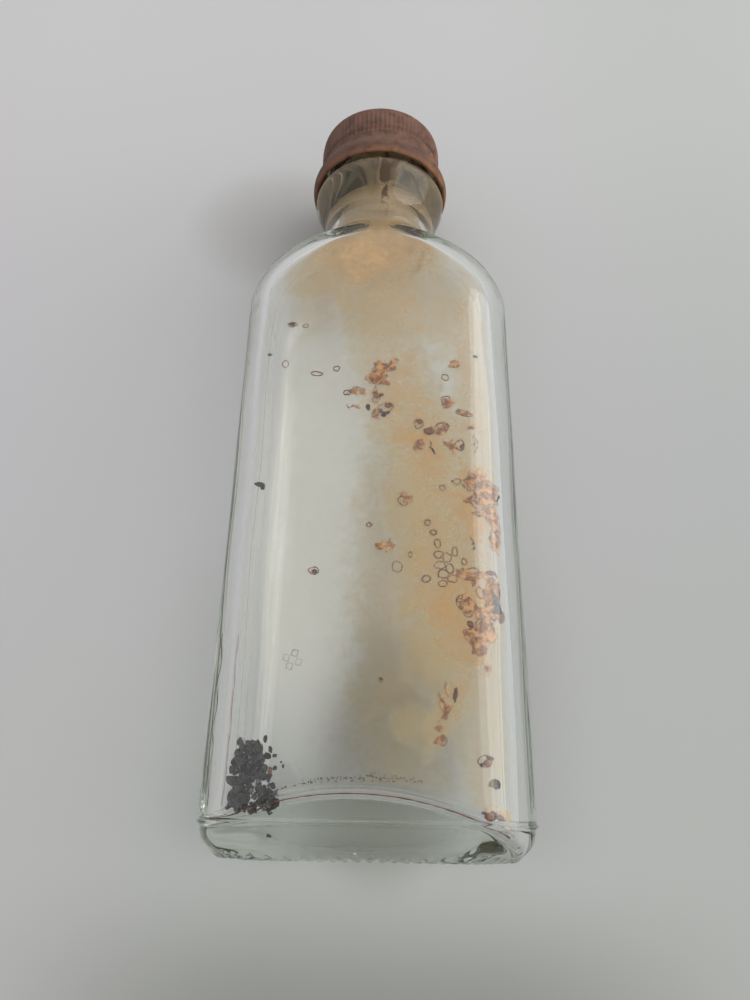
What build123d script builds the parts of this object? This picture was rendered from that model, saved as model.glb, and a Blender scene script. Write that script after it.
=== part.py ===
from build123d import *
from math import atan2, cos, pi, radians, sin, sqrt
import os

# A flat machine-made medicine bottle of clear glass with a pressed steel screw cap,
# lying on its back. +Y runs along the bottle to the cap, +X is its width and +Z is up
# through its front panel, so z = 0 is the surface it lies on. Heights are measured
# along the bottle from the tips of the knurl that it would stand on.

# Glass body
glass_height = 138.0
body_width = 47.4
body_depth = 29.0
corner_radius = 8.7          # long corners between the panels and the sides
heel_swell = 0.3             # the sides stand this far out just above the heel
swell_height = 17.0
panel_height = 40.0          # the sides run parallel from here up
heel_radius = 4.3
side_wall = 2.6
panel_wall = 2.2
floor_edge_height = 4.8      # inside floor at its lowest, along the sides
floor_crown_height = 10.0    # inside floor at its highest, in the middle
floor_fillet = 2.4

# Shoulder and neck
shoulder_radius = 16.0
panel_turn_drop = 9.2        # the panels begin to turn in this far below the sides
panel_turn_radius = 68.0
neck_radius = 10.9
neck_length = 8.3            # from the shoulder's top to the top of the bead
neck_root_radius = 2.0       # hollow curve from the shoulder into the neck
panel_root_radius = 10.0
neck_bore_radius = 8.4
neck_line_step = 0.1         # the neck is a hair slimmer than the body's top at the mould joint
neck_overlap = 1.5
waist_length = 1.2           # straight neck below the taper
taper_bulge = 0.35           # the neck swells this far out between its waist and the bead
corner_flat = 0.05           # short straights are kept where the section turns round

# Finish: the part of the neck that the cap fits, from the bead's top to the lip
finish_length = 13.3
finish_radius = 10.77        # the land that carries the moulded thread
bead_radius = 13.2
bead_drop = 1.0              # from the bead's top down to its widest ring
bead_round = 0.7
bore_radius = 6.75
bore_drop = 3.2              # the bore is straight from this far below the bead's top
bore_taper = 3.0             # length over which the neck's wide bore closes in
lip_round = 0.8

# Base
bearing_width = 2.4          # flat ring between the heel and the push-up
knurl_height = 0.33          # ridges with sides at 45 degrees
knurl_pitch = 1.6
knurl_margin = 0.2           # plain ring left at either end of a ridge
knurl_root = 0.12            # how deep a ridge's widest line lies in the ring
push_up_rise = 3.6
push_up_slope = 4.0          # how far the push-up's walls lean in over its rise

# Cap and its liner
shell_thickness = 0.3
board_thickness = 0.9
facing_thickness = 0.2
liner_clearance = 0.15       # between the liner's edge and the crown's rounding
cap_height = 13.9
cap_wall_radius = 12.35      # outside of the crown's wall, under the ribs
crown_round = 1.3
rib_pitch = 0.924
rib_height = 0.25
rib_valley = 0.03            # the valleys between the ribs keep this far off the plain wall
rib_top_gap = 1.5            # from the cap's top down to the ribs
rib_length = 5.4
flare_drop = 7.4             # from the cap's top down to where the skirt opens
lip_radius = 14.0            # the curled lip at its widest
lip_rise = 1.7               # from the cap's edge up to the lip's widest ring
edge_radius = 13.55
curl_angle = 60              # how far the lip's curl turns back in

# Heights and places that follow
overall_length = glass_height + facing_thickness + board_thickness + shell_thickness
axis_height = body_depth / 2
half_width = body_width / 2
half_depth = body_depth / 2
cap_top = overall_length
cap_edge = cap_top - cap_height
ledge_height = knurl_height  # the ring that the ridges stand on
bead_top_height = glass_height - finish_length
bead_height = bead_top_height - bead_drop
neck_height = bead_top_height - neck_length
shoulder_reach = neck_radius + neck_root_radius + shoulder_radius - half_width
shoulder_rise = sqrt((shoulder_radius + neck_root_radius) ** 2 - shoulder_reach**2)
shoulder_height = neck_height - shoulder_rise
panel_turn_height = shoulder_height - panel_turn_drop
waist_height = neck_height + waist_length
bore_height = bead_top_height - bore_drop
turn_axis = Axis((0, 0, axis_height), (0, 1, 0))
# the profiles that turn about the bottle's axis: x is the radius, y the place along the bottle
turning_plane = Plane.XY.offset(axis_height)


def along(height):
    """Return the place on the Y axis of a height above the base."""
    return height - overall_length / 2


def station(height):
    """Return the plane across the bottle at a height above the base."""
    return Plane(origin=(0, along(height), axis_height), x_dir=(1, 0, 0), z_dir=(0, 1, 0))


class ShoulderCurve:
    """One side of a shoulder: a straight wall, a convex arc and a hollow arc into the neck."""

    def __init__(self, half_size, neck, start, convex, hollow):
        self.half_size, self.neck, self.start = half_size, neck, start
        self.convex, self.hollow = convex, hollow
        self.centre = half_size - convex
        reach = neck + hollow - self.centre
        self.end = start + sqrt((convex + hollow) ** 2 - reach**2)
        self.join = start + (self.end - start) * convex / (convex + hollow)

    def at(self, height):
        """Return the half size at a height above the base."""
        if height <= self.start:
            return self.half_size
        if height <= self.join:
            return self.centre + sqrt(self.convex**2 - (height - self.start) ** 2)
        if height < self.end:
            return self.neck + self.hollow - sqrt(self.hollow**2 - (self.end - height) ** 2)
        return self.neck

    def heights(self, convex_steps, hollow_steps):
        """Return heights spread evenly by angle over the convex arc, then the hollow one."""
        sweep = atan2(self.end - self.start, self.neck + self.hollow - self.centre)
        convex_step, hollow_step = sweep / convex_steps, sweep / hollow_steps
        convex = [self.start + self.convex * sin(convex_step * k) for k in range(convex_steps)]
        hollow = [self.end - self.hollow * sin(hollow_step * k) for k in range(hollow_steps, -1, -1)]
        return convex + hollow


class BottleForm:
    """The cross sections of the glass, outside or inside its walls, from its foot up."""

    def __init__(self, side_inset, panel_inset, neck, foot, foot_radius, swell=0):
        self.side = ShoulderCurve(
            half_width - side_inset, neck, shoulder_height,
            shoulder_radius - side_inset, neck_root_radius + side_inset)
        self.panel = ShoulderCurve(
            half_depth - panel_inset, neck, panel_turn_height,
            panel_turn_radius - panel_inset, panel_root_radius + panel_inset)
        self.corner = corner_radius - (side_inset + panel_inset) / 2
        self.foot, self.foot_radius, self.swell = foot, foot_radius, swell

    def swollen(self, height):
        """Return how far the side stands out beyond the parallel wall."""
        if height >= panel_height:
            return 0
        reach = panel_height - swell_height
        return self.swell * cos(pi / 2 * (height - swell_height) / reach) ** 2

    def foot_inset(self, height):
        """Return how far the rounded foot lies inside the walls."""
        below = max(self.foot + self.foot_radius - height, 0)
        return self.foot_radius - sqrt(self.foot_radius**2 - below**2)

    def size(self, height):
        """Return width, depth and corner radius of the section at a height."""
        turned = (height - panel_turn_height) / (self.panel.end - panel_turn_height)
        share = min(max(turned, 0), 1)
        inset = self.foot_inset(height)
        wide = self.side.at(height) + self.swollen(height) - inset
        deep = self.panel.at(height) - inset
        corner = self.corner + (self.panel.neck - self.corner) * share - inset
        corner = min(corner, deep - corner_flat, wide - corner_flat)
        return 2 * wide, 2 * deep, corner

    def heights(self):
        """Return the heights of the sections, closer together where the form turns."""
        foot_steps, swell_steps, turn_steps = 4, 4 if self.swell else 0, 3
        wall_foot = self.foot + self.foot_radius
        swell_step = (panel_height - wall_foot) / max(swell_steps, 1)
        turn = shoulder_height - panel_turn_height
        quarter = pi / 2 / foot_steps
        foot = [self.foot + self.foot_radius * (1 - cos(quarter * k)) for k in range(foot_steps)]
        walls = [wall_foot + swell_step * k for k in range(swell_steps + 1)]
        turning = [panel_turn_height + turn * k / turn_steps for k in range(turn_steps)]
        return foot + walls + turning + self.side.heights(convex_steps=5, hollow_steps=2)

    def sections(self):
        """Return the cross-section faces, from the foot to the neck."""
        faces = []
        for height in self.heights():
            width, depth, corner = self.size(height)
            with BuildSketch(station(height)) as section:
                RectangleRounded(width, depth, corner)
            faces.append(section.sketch.face())
        return faces


def rounding(start, end, steps=2):
    """Return the points of a quarter ellipse from start, where it runs along Y, to end."""
    points = []
    for k in range(steps + 1):
        turn = pi / 2 * k / steps
        points.append((
            end[0] + (start[0] - end[0]) * cos(turn), start[1] + (end[1] - start[1]) * sin(turn)))
    return points


outer_form = BottleForm(0, 0, neck_radius, ledge_height, heel_radius, heel_swell)
inner_form = BottleForm(side_wall, panel_wall, neck_bore_radius, floor_edge_height, floor_fillet)

# --- Inside of the glass -------------------------------------------------------------
floor_sag = floor_crown_height - floor_edge_height
floor_chord = half_width - side_wall
floor_radius = (floor_chord**2 + floor_sag**2) / (2 * floor_sag)

with BuildPart() as chamber:
    loft(inner_form.sections(), ruled=True)
    # the floor is arched across the width, thickest in the middle
    with BuildSketch(turning_plane):
        with Locations((0, along(floor_crown_height) - floor_radius)):
            Circle(floor_radius)
    extrude(amount=half_depth, both=True, mode=Mode.SUBTRACT)

with BuildPart() as bore:
    with BuildSketch(turning_plane):
        bore_foot = along(inner_form.side.end - neck_overlap)
        bore_line = neck_bore_radius - neck_line_step
        with BuildLine():
            Polyline(
                (0, bore_foot),
                (bore_line, bore_foot),
                (bore_line, along(bore_height - bore_taper)),
                (bore_radius, along(bore_height)),
                (bore_radius, along(glass_height + neck_overlap)),
                (0, along(glass_height + neck_overlap)),
                close=True)
        make_face()
    revolve(axis=turn_axis)

# --- Hollow under the base -----------------------------------------------------------
ring_width, ring_depth, ring_corner = outer_form.size(ledge_height)
push_up_width = ring_width - 2 * bearing_width
push_up_depth = ring_depth - 2 * bearing_width
push_up_radius = ((push_up_width / 2) ** 2 + push_up_rise**2) / (2 * push_up_rise)

with BuildPart() as push_up:
    with BuildSketch(station(0)):
        RectangleRounded(push_up_width, push_up_depth, push_up_depth / 2 - corner_flat)
    with BuildSketch(station(ledge_height + push_up_rise)):
        RectangleRounded(
            push_up_width - 2 * push_up_slope,
            push_up_depth - 2 * push_up_slope,
            push_up_depth / 2 - push_up_slope - corner_flat)
    loft(ruled=True)
    with BuildSketch(turning_plane):
        with Locations((0, along(ledge_height + push_up_rise) - push_up_radius)):
            Circle(push_up_radius)
    extrude(amount=half_depth, both=True, mode=Mode.INTERSECT)

# --- Knurl ridges around the ring that the bottle would stand on ---------------------
with BuildSketch(station(ledge_height)) as ring_middle:
    RectangleRounded(
        ring_width - bearing_width, ring_depth - bearing_width, ring_corner - bearing_width / 2)
ring_wire = ring_middle.sketch.face().outer_wire()
knurl_count = round(ring_wire.length / knurl_pitch)
knurl_side = sqrt(2) * (knurl_height + knurl_root)
knurl_planes = []
for index in range(knurl_count):
    place = index / knurl_count
    run = ring_wire.tangent_at(place)
    middle = ring_wire.position_at(place) + Vector(0, knurl_root, 0)
    knurl_planes.append(Plane(origin=middle, x_dir=run, z_dir=run.cross(Vector(0, 1, 0))))

with BuildPart() as glass_bottle:
    loft(outer_form.sections(), ruled=True)
    # neck, bead and finish
    with BuildSketch(turning_plane):
        neck_foot = along(outer_form.side.end - neck_overlap)
        neck_line = neck_radius - neck_line_step
        taper = bead_radius - neck_line
        with BuildLine():
            Polyline(
                (0, neck_foot),
                (neck_line, neck_foot),
                (neck_line, along(waist_height)),
                (neck_line + taper / 2 + taper_bulge, along((waist_height + bead_height) / 2)),
                (bead_radius, along(bead_height)),
                *rounding(
                    (bead_radius, along(bead_top_height - bead_round)),
                    (bead_radius - bead_round, along(bead_top_height))),
                (finish_radius, along(bead_top_height)),
                *rounding(
                    (finish_radius, along(glass_height - lip_round)),
                    (finish_radius - lip_round, along(glass_height))),
                (0, along(glass_height)),
                close=True)
        make_face()
    revolve(axis=turn_axis)
    add(chamber.part, mode=Mode.SUBTRACT)
    add(bore.part, mode=Mode.SUBTRACT)
    add(push_up.part, mode=Mode.SUBTRACT)
    with Locations(*knurl_planes):
        Box(knurl_side, knurl_side, bearing_width - 2 * knurl_margin, rotation=(0, 0, 45))

# --- Pressed steel cap ---------------------------------------------------------------
def sheet_line(depth):
    """Return the points of the cap's section at a depth inside its outer skin."""
    wall = cap_wall_radius - depth
    crown = along(cap_top) - depth
    turn = crown_round - depth
    flare_top, flare_foot = cap_top - flare_drop, cap_edge + lip_rise
    points = [(wall - turn, crown), *rounding((wall, crown - turn), (wall - turn, crown))[::-1]]
    flare_steps, curl_steps = 3, 1
    for k in range(flare_steps + 1):
        opened = (1 - cos(pi * k / flare_steps)) / 2
        height = flare_top + (flare_foot - flare_top) * k / flare_steps
        points.append((wall + (lip_radius - cap_wall_radius) * opened, along(height)))
    for k in range(1, curl_steps + 1):
        turned = radians(curl_angle * k / curl_steps)
        closed = (1 - cos(turned)) / (1 - cos(radians(curl_angle)))
        height = flare_foot - lip_rise * sin(turned) / sin(radians(curl_angle))
        points.append((lip_radius - depth - (lip_radius - edge_radius) * closed, along(height)))
    return points[1:]


def rib_line():
    """Return the crests and valleys of the ribs around the cap's wall."""
    rib_count = round(2 * pi * cap_wall_radius / rib_pitch)
    points = []
    for k in range(2 * rib_count):
        radius = cap_wall_radius + (rib_valley if k % 2 else rib_height)
        turned = pi * k / rib_count
        points.append((radius * cos(turned), radius * sin(turned)))
    return points


with BuildPart() as cap_shell:
    with BuildSketch(turning_plane):
        with BuildLine():
            Polyline(
                (0, along(cap_top)),
                *sheet_line(0),
                *sheet_line(shell_thickness)[::-1],
                (0, along(cap_top) - shell_thickness),
                close=True)
        make_face()
    revolve(axis=turn_axis)
    # sharp ribs pressed side by side into the upper wall for the fingers
    with BuildSketch(station(cap_top - rib_top_gap - rib_length)):
        with BuildLine():
            Polyline(*rib_line(), close=True)
        make_face()
        Circle(cap_wall_radius - shell_thickness / 2, mode=Mode.SUBTRACT)
    extrude(amount=rib_length)

# --- Liner: a board disc with a facing against the glass -----------------------------
liner_radius = cap_wall_radius - crown_round - liner_clearance

with BuildPart() as liner_facing:
    with BuildSketch(station(glass_height)):
        Circle(liner_radius)
    extrude(amount=facing_thickness)

with BuildPart() as liner_board:
    with BuildSketch(station(glass_height + facing_thickness)):
        Circle(liner_radius)
    extrude(amount=board_thickness)

pieces = {
    "glass_bottle": glass_bottle,
    "cap_shell": cap_shell,
    "liner_facing": liner_facing,
    "liner_board": liner_board,
}

os.makedirs("parts", exist_ok=True)
for name, piece in pieces.items():
    piece.part.label = name
    export_step(piece.part, f"parts/{name}.step")
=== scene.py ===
"""A flat medicine bottle of pale green glass, lying on its back under a rusted screw cap.

The bottle lies along +Y with its front panel up. Sizes in the classes are millimetres:
x is across, z is above the table, and height is measured from the base towards the cap.
"""

import logging
import math
import random
from dataclasses import dataclass, replace
from enum import Enum
from typing import Any, Mapping, Sequence, Union

import bpy
import numpy as np
from mathutils import Matrix, Vector


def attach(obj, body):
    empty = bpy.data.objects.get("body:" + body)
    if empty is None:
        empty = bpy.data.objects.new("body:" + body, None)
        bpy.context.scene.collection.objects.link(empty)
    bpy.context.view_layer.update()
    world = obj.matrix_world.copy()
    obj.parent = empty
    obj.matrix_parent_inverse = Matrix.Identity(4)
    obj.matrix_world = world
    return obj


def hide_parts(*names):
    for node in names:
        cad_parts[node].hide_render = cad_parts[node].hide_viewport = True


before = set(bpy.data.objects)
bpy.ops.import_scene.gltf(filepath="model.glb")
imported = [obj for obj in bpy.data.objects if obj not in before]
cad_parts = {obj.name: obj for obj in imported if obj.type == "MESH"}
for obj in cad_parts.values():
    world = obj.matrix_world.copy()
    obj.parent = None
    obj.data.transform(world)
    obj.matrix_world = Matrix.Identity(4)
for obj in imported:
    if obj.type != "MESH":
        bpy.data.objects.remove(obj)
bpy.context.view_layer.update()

log = logging.getLogger("medicine_bottle")

MILLIMETRE = 0.001
OVERALL_HEIGHT = 139.4
AXIS_HEIGHT = 14.5
SEED = 1907
SAMPLED_FACES = 20000

Colour = tuple[float, float, float]
Line = list[tuple[float, float]]
Number = Union[float, "Value"]
Given = Union[float, Sequence[float], "Value", bpy.types.NodeSocket]


class Body(Enum):
    """The three bodies that pieces ride on."""

    BOTTLE = "bottle"
    LINER = "liner"
    CAP = "cap"


class Face(Enum):
    """The two broad inner faces of the bottle, by the side of the axis that each is on."""

    BACK = -1.0
    FRONT = 1.0


# --- Node maths ----------------------------------------------------------------------
class Value:
    """A number that varies over a surface, held as the output socket of a node."""

    def __init__(self, bench: "Bench", socket: bpy.types.NodeSocket) -> None:
        """Keep the socket, and the bench that adds nodes beside it."""
        self.bench = bench
        self.socket = socket

    def _join(self, operation: str, *parts: Number) -> "Value":
        """Add one Math node.

        Args:
            operation: the Math node's operation.
            parts: numbers or values, in the order of the node's sockets.

        Returns:
            The node's result.
        """
        return self.bench.value("ShaderNodeMath", {"operation": operation}, dict(enumerate(parts)))

    def __add__(self, other: Number) -> "Value":
        """Return self + other."""
        return self._join("ADD", self, other)

    __radd__ = __add__

    def __sub__(self, other: Number) -> "Value":
        """Return self - other."""
        return self._join("SUBTRACT", self, other)

    def __rsub__(self, other: Number) -> "Value":
        """Return other - self."""
        return self._join("SUBTRACT", other, self)

    def __mul__(self, other: Number) -> "Value":
        """Return self * other."""
        return self._join("MULTIPLY", self, other)

    __rmul__ = __mul__

    def __truediv__(self, other: Number) -> "Value":
        """Return self / other."""
        return self._join("DIVIDE", self, other)

    def __rtruediv__(self, other: Number) -> "Value":
        """Return other / self."""
        return self._join("DIVIDE", other, self)

    def __gt__(self, other: Number) -> "Value":
        """Return 1 where self is the greater, and 0 elsewhere."""
        return self._join("GREATER_THAN", self, other)

    def __lt__(self, other: Number) -> "Value":
        """Return 1 where self is the smaller, and 0 elsewhere."""
        return self._join("LESS_THAN", self, other)

    def __abs__(self) -> "Value":
        """Return the distance from zero."""
        return self._join("ABSOLUTE", self)

    def most(self, other: Number) -> "Value":
        """Return the greater of self and other."""
        return self._join("MAXIMUM", self, other)

    def held(self) -> "Value":
        """Return self held between 0 and 1."""
        return self.bench.value("ShaderNodeClamp", {}, {"Value": self})

    def rise(self, low: float, high: float) -> "Value":
        """Return a smooth step over self.

        Args:
            low: where the step starts, at 0.
            high: where it ends, at 1. It may be below low, for a step down.

        Returns:
            The step.
        """
        return self.bench.value(
            "ShaderNodeMapRange",
            {"interpolation_type": "SMOOTHSTEP"},
            {"Value": self, "From Min": low, "From Max": high},
        )


class Bench:
    """The node tree of one material or of the world, and the ways to add nodes to it."""

    def __init__(self, tree: bpy.types.NodeTree) -> None:
        """Clear the tree and work on it."""
        self.tree = tree
        tree.nodes.clear()

    @classmethod
    def material(cls, name: str) -> tuple["Bench", bpy.types.Material]:
        """Start a material.

        Args:
            name: the material's name.

        Returns:
            The bench for its nodes, and the material.
        """
        made = bpy.data.materials.new(name)
        made.use_nodes = True
        return cls(made.node_tree), made

    def node(
        self,
        kind: str,
        settings: Mapping[str, Any] | None = None,
        sockets: Mapping[Union[int, str], Given] | None = None,
    ) -> bpy.types.Node:
        """Add a node, with its settings first and then its sockets.

        Args:
            kind: the node's type.
            settings: the node's properties. The stops of a ramp are (place, colour) pairs.
            sockets: numbers, colours or links by the input's number, name or identifier.

        Returns:
            The node.
        """
        made = self.tree.nodes.new(kind)
        for name, setting in (settings or {}).items():
            if name == "stops":
                self._set_stops(made.color_ramp, setting)
            else:
                setattr(made, name, setting)
        for name, given in (sockets or {}).items():
            socket = self._find(made.inputs, name)
            link = given.socket if isinstance(given, Value) else given
            if isinstance(link, bpy.types.NodeSocket):
                self.tree.links.new(link, socket)
            else:
                socket.default_value = link
        return made

    @staticmethod
    def _find(sockets: Any, name: Union[int, str]) -> bpy.types.NodeSocket:
        """Find one socket of a node.

        Args:
            sockets: the node's inputs or outputs.
            name: its number, identifier or name.

        Returns:
            The socket.
        """
        if isinstance(name, int):
            return sockets[name]
        known = [socket for socket in sockets if socket.identifier == name]
        return (known or [socket for socket in sockets if socket.name == name])[0]

    @staticmethod
    def _set_stops(ramp: bpy.types.ColorRamp, stops: Sequence[tuple[float, Colour]]) -> None:
        """Give a ramp its stops.

        Args:
            ramp: the ramp, with its two first stops.
            stops: a place and a colour each, in order.
        """
        for place, _ in stops[2:]:
            ramp.elements.new(place)
        for element, (place, colour) in zip(ramp.elements, stops):
            element.position = place
            element.color = (*colour, 1.0)

    def value(
        self,
        kind: str,
        settings: Mapping[str, Any] | None = None,
        sockets: Mapping[Union[int, str], Given] | None = None,
        output: Union[int, str] = 0,
    ) -> Value:
        """Add a node and return one of its outputs as a value.

        Args:
            kind: the node's type.
            settings: the node's properties.
            sockets: what its inputs get.
            output: the output's number, name or identifier.

        Returns:
            The output.
        """
        return Value(self, self._find(self.node(kind, settings, sockets).outputs, output))

    def place(self) -> bpy.types.NodeSocket:
        """Return the place on the object, in metres."""
        return self.node("ShaderNodeTexCoord").outputs["Object"]

    def axes(self) -> tuple[Value, Value, Value]:
        """Return x, height from the base and z above the axis, in millimetres."""
        parts = self.node("ShaderNodeSeparateXYZ", {}, {0: self.place()}).outputs
        x, y, z = (Value(self, part) / MILLIMETRE for part in parts)
        return x, y + OVERALL_HEIGHT / 2, z - AXIS_HEIGHT

    def noise(self, scale: float, detail: float = 3.0, rough: float = 0.55, twist: float = 0.0,
              where: bpy.types.NodeSocket | None = None) -> Value:
        """Add a noise.

        Args:
            scale: patches to a metre.
            detail: how many finer noises are added.
            rough: how strong those are.
            twist: how far the noise is distorted.
            where: the place, or None for the place on the object.

        Returns:
            The noise, about 0.5.
        """
        return self.value(
            "ShaderNodeTexNoise", {"noise_dimensions": "3D"},
            {"Vector": where or self.place(), "Scale": scale, "Detail": detail,
             "Roughness": rough, "Distortion": twist})

    def cells(self, scale: float, feature: str = "DISTANCE_TO_EDGE", uneven: float = 1.0,
              where: bpy.types.NodeSocket | None = None) -> Value:
        """Add a Voronoi pattern.

        Args:
            scale: cells to a metre.
            feature: what it measures.
            uneven: how irregular the cells are.
            where: the place, or None for the place on the object.

        Returns:
            The distance that it measures, in cells.
        """
        return self.value(
            "ShaderNodeTexVoronoi", {"feature": feature},
            {"Vector": where or self.place(), "Scale": scale, "Randomness": uneven}, "Distance")

    @staticmethod
    def oval(x: Value, y: Value, middle: tuple[float, float], spread: tuple[float, float]) -> Value:
        """Return how far a place lies from the middle of an oval patch.

        Args:
            x: the place across.
            y: the place along.
            middle: the patch's middle.
            spread: the squares of its half sizes.

        Returns:
            The square of the distance: 0 in the middle, 1 on the oval.
        """
        across, along = x - middle[0], y - middle[1]
        return across * across / spread[0] + along * along / spread[1]

    def wander(self, scale: float, reach: float) -> bpy.types.NodeSocket:
        """Return the place on the object, shifted by a noise.

        Args:
            scale: the noise's patches to a metre.
            reach: how far it shifts the place, in metres.

        Returns:
            The shifted place.
        """
        shift = self.node("ShaderNodeTexNoise", {"noise_dimensions": "3D"},
                          {"Vector": self.place(), "Scale": scale, "Detail": 2.0}).outputs["Color"]
        centred = self.node("ShaderNodeVectorMath", {"operation": "SUBTRACT"},
                            {0: shift, 1: (0.5, 0.5, 0.5)}).outputs[0]
        sized = self.node("ShaderNodeVectorMath", {"operation": "SCALE"},
                          {0: centred, "Scale": 2 * reach}).outputs[0]
        return self.node("ShaderNodeVectorMath", {"operation": "ADD"},
                         {0: self.place(), 1: sized}).outputs[0]

    def mix(self, factor: Number, first: Given, second: Given,
            blend: str = "MIX") -> bpy.types.NodeSocket:
        """Mix two colours.

        Args:
            factor: how much of the second shows.
            first: the first colour, or its link.
            second: the second colour, or its link.
            blend: the way that they are mixed.

        Returns:
            The mixed colour.
        """
        first, second = ((*c, 1.0) if isinstance(c, tuple) else c for c in (first, second))
        made = self.node("ShaderNodeMix", {"data_type": "RGBA", "blend_type": blend},
                         {"Factor_Float": factor, "A_Color": first, "B_Color": second})
        return self._find(made.outputs, "Result_Color")

    def bump(self, height: Value, distance: float, strength: float = 1.0) -> bpy.types.NodeSocket:
        """Return the normal that a height gives.

        Args:
            height: the height, from 0 to 1.
            distance: the relief in millimetres where the height is 1.
            strength: how much of it shows.

        Returns:
            The normal.
        """
        return self.node("ShaderNodeBump", {}, {
            "Height": height, "Distance": distance * MILLIMETRE, "Strength": strength}).outputs[0]

    def surface(self, sockets: Mapping[str, Given]) -> bpy.types.NodeSocket:
        """Return a Principled surface with those sockets."""
        return self.node("ShaderNodeBsdfPrincipled", {}, sockets).outputs[0]

    def finish(self, surface: bpy.types.NodeSocket,
               volume: bpy.types.NodeSocket | None = None) -> None:
        """Lead a surface to the material's output.

        Args:
            surface: the surface's shader.
            volume: the shader of what lies behind it, or None.
        """
        ends: dict[str, Given] = {"Surface": surface}
        if volume is not None:
            ends["Volume"] = volume
        self.node("ShaderNodeOutputMaterial", {}, ends)


# --- Finishes ------------------------------------------------------------------------
@dataclass(frozen=True)
class GlassFinish:
    """Old pressed glass, faintly green in its depth."""

    bend: float = 1.52
    tint: Colour = (0.55, 0.72, 0.50)
    density: float = 10.0
    shade: Colour = (0.985, 0.99, 0.985)

    def make(self) -> bpy.types.Material:
        """Return the glass."""
        bench, made = Bench.material("bottle_glass")
        skin = bench.noise(90.0, 2.0)
        surface = bench.surface({
            "Base Color": (1.0, 1.0, 1.0, 1.0),
            "Roughness": 0.0,
            "IOR": self.bend,
            "Transmission Weight": 1.0,
            "Normal": bench.bump(skin, 0.05),
        })
        through = bench.node("ShaderNodeBsdfTransparent", {}, {0: (*self.shade, 1.0)}).outputs[0]
        rays = bench.node("ShaderNodeLightPath").outputs
        soft = Value(bench, rays["Is Shadow Ray"]).most(Value(bench, rays["Is Diffuse Ray"]))
        both = bench.node("ShaderNodeMixShader", {}, {0: soft, 1: surface, 2: through}).outputs[0]
        depth = bench.node("ShaderNodeVolumeAbsorption", {}, {
            "Color": (*self.tint, 1.0), "Density": self.density}).outputs[0]
        bench.finish(both, depth)
        return made


@dataclass(frozen=True)
class Stain:
    """A soft-edged patch of dried film on one inner face, in millimetres."""

    x: float
    height: float
    across: float
    along: float
    strength: float
    face: Face = Face.FRONT
    lean: float = 0.0


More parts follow.
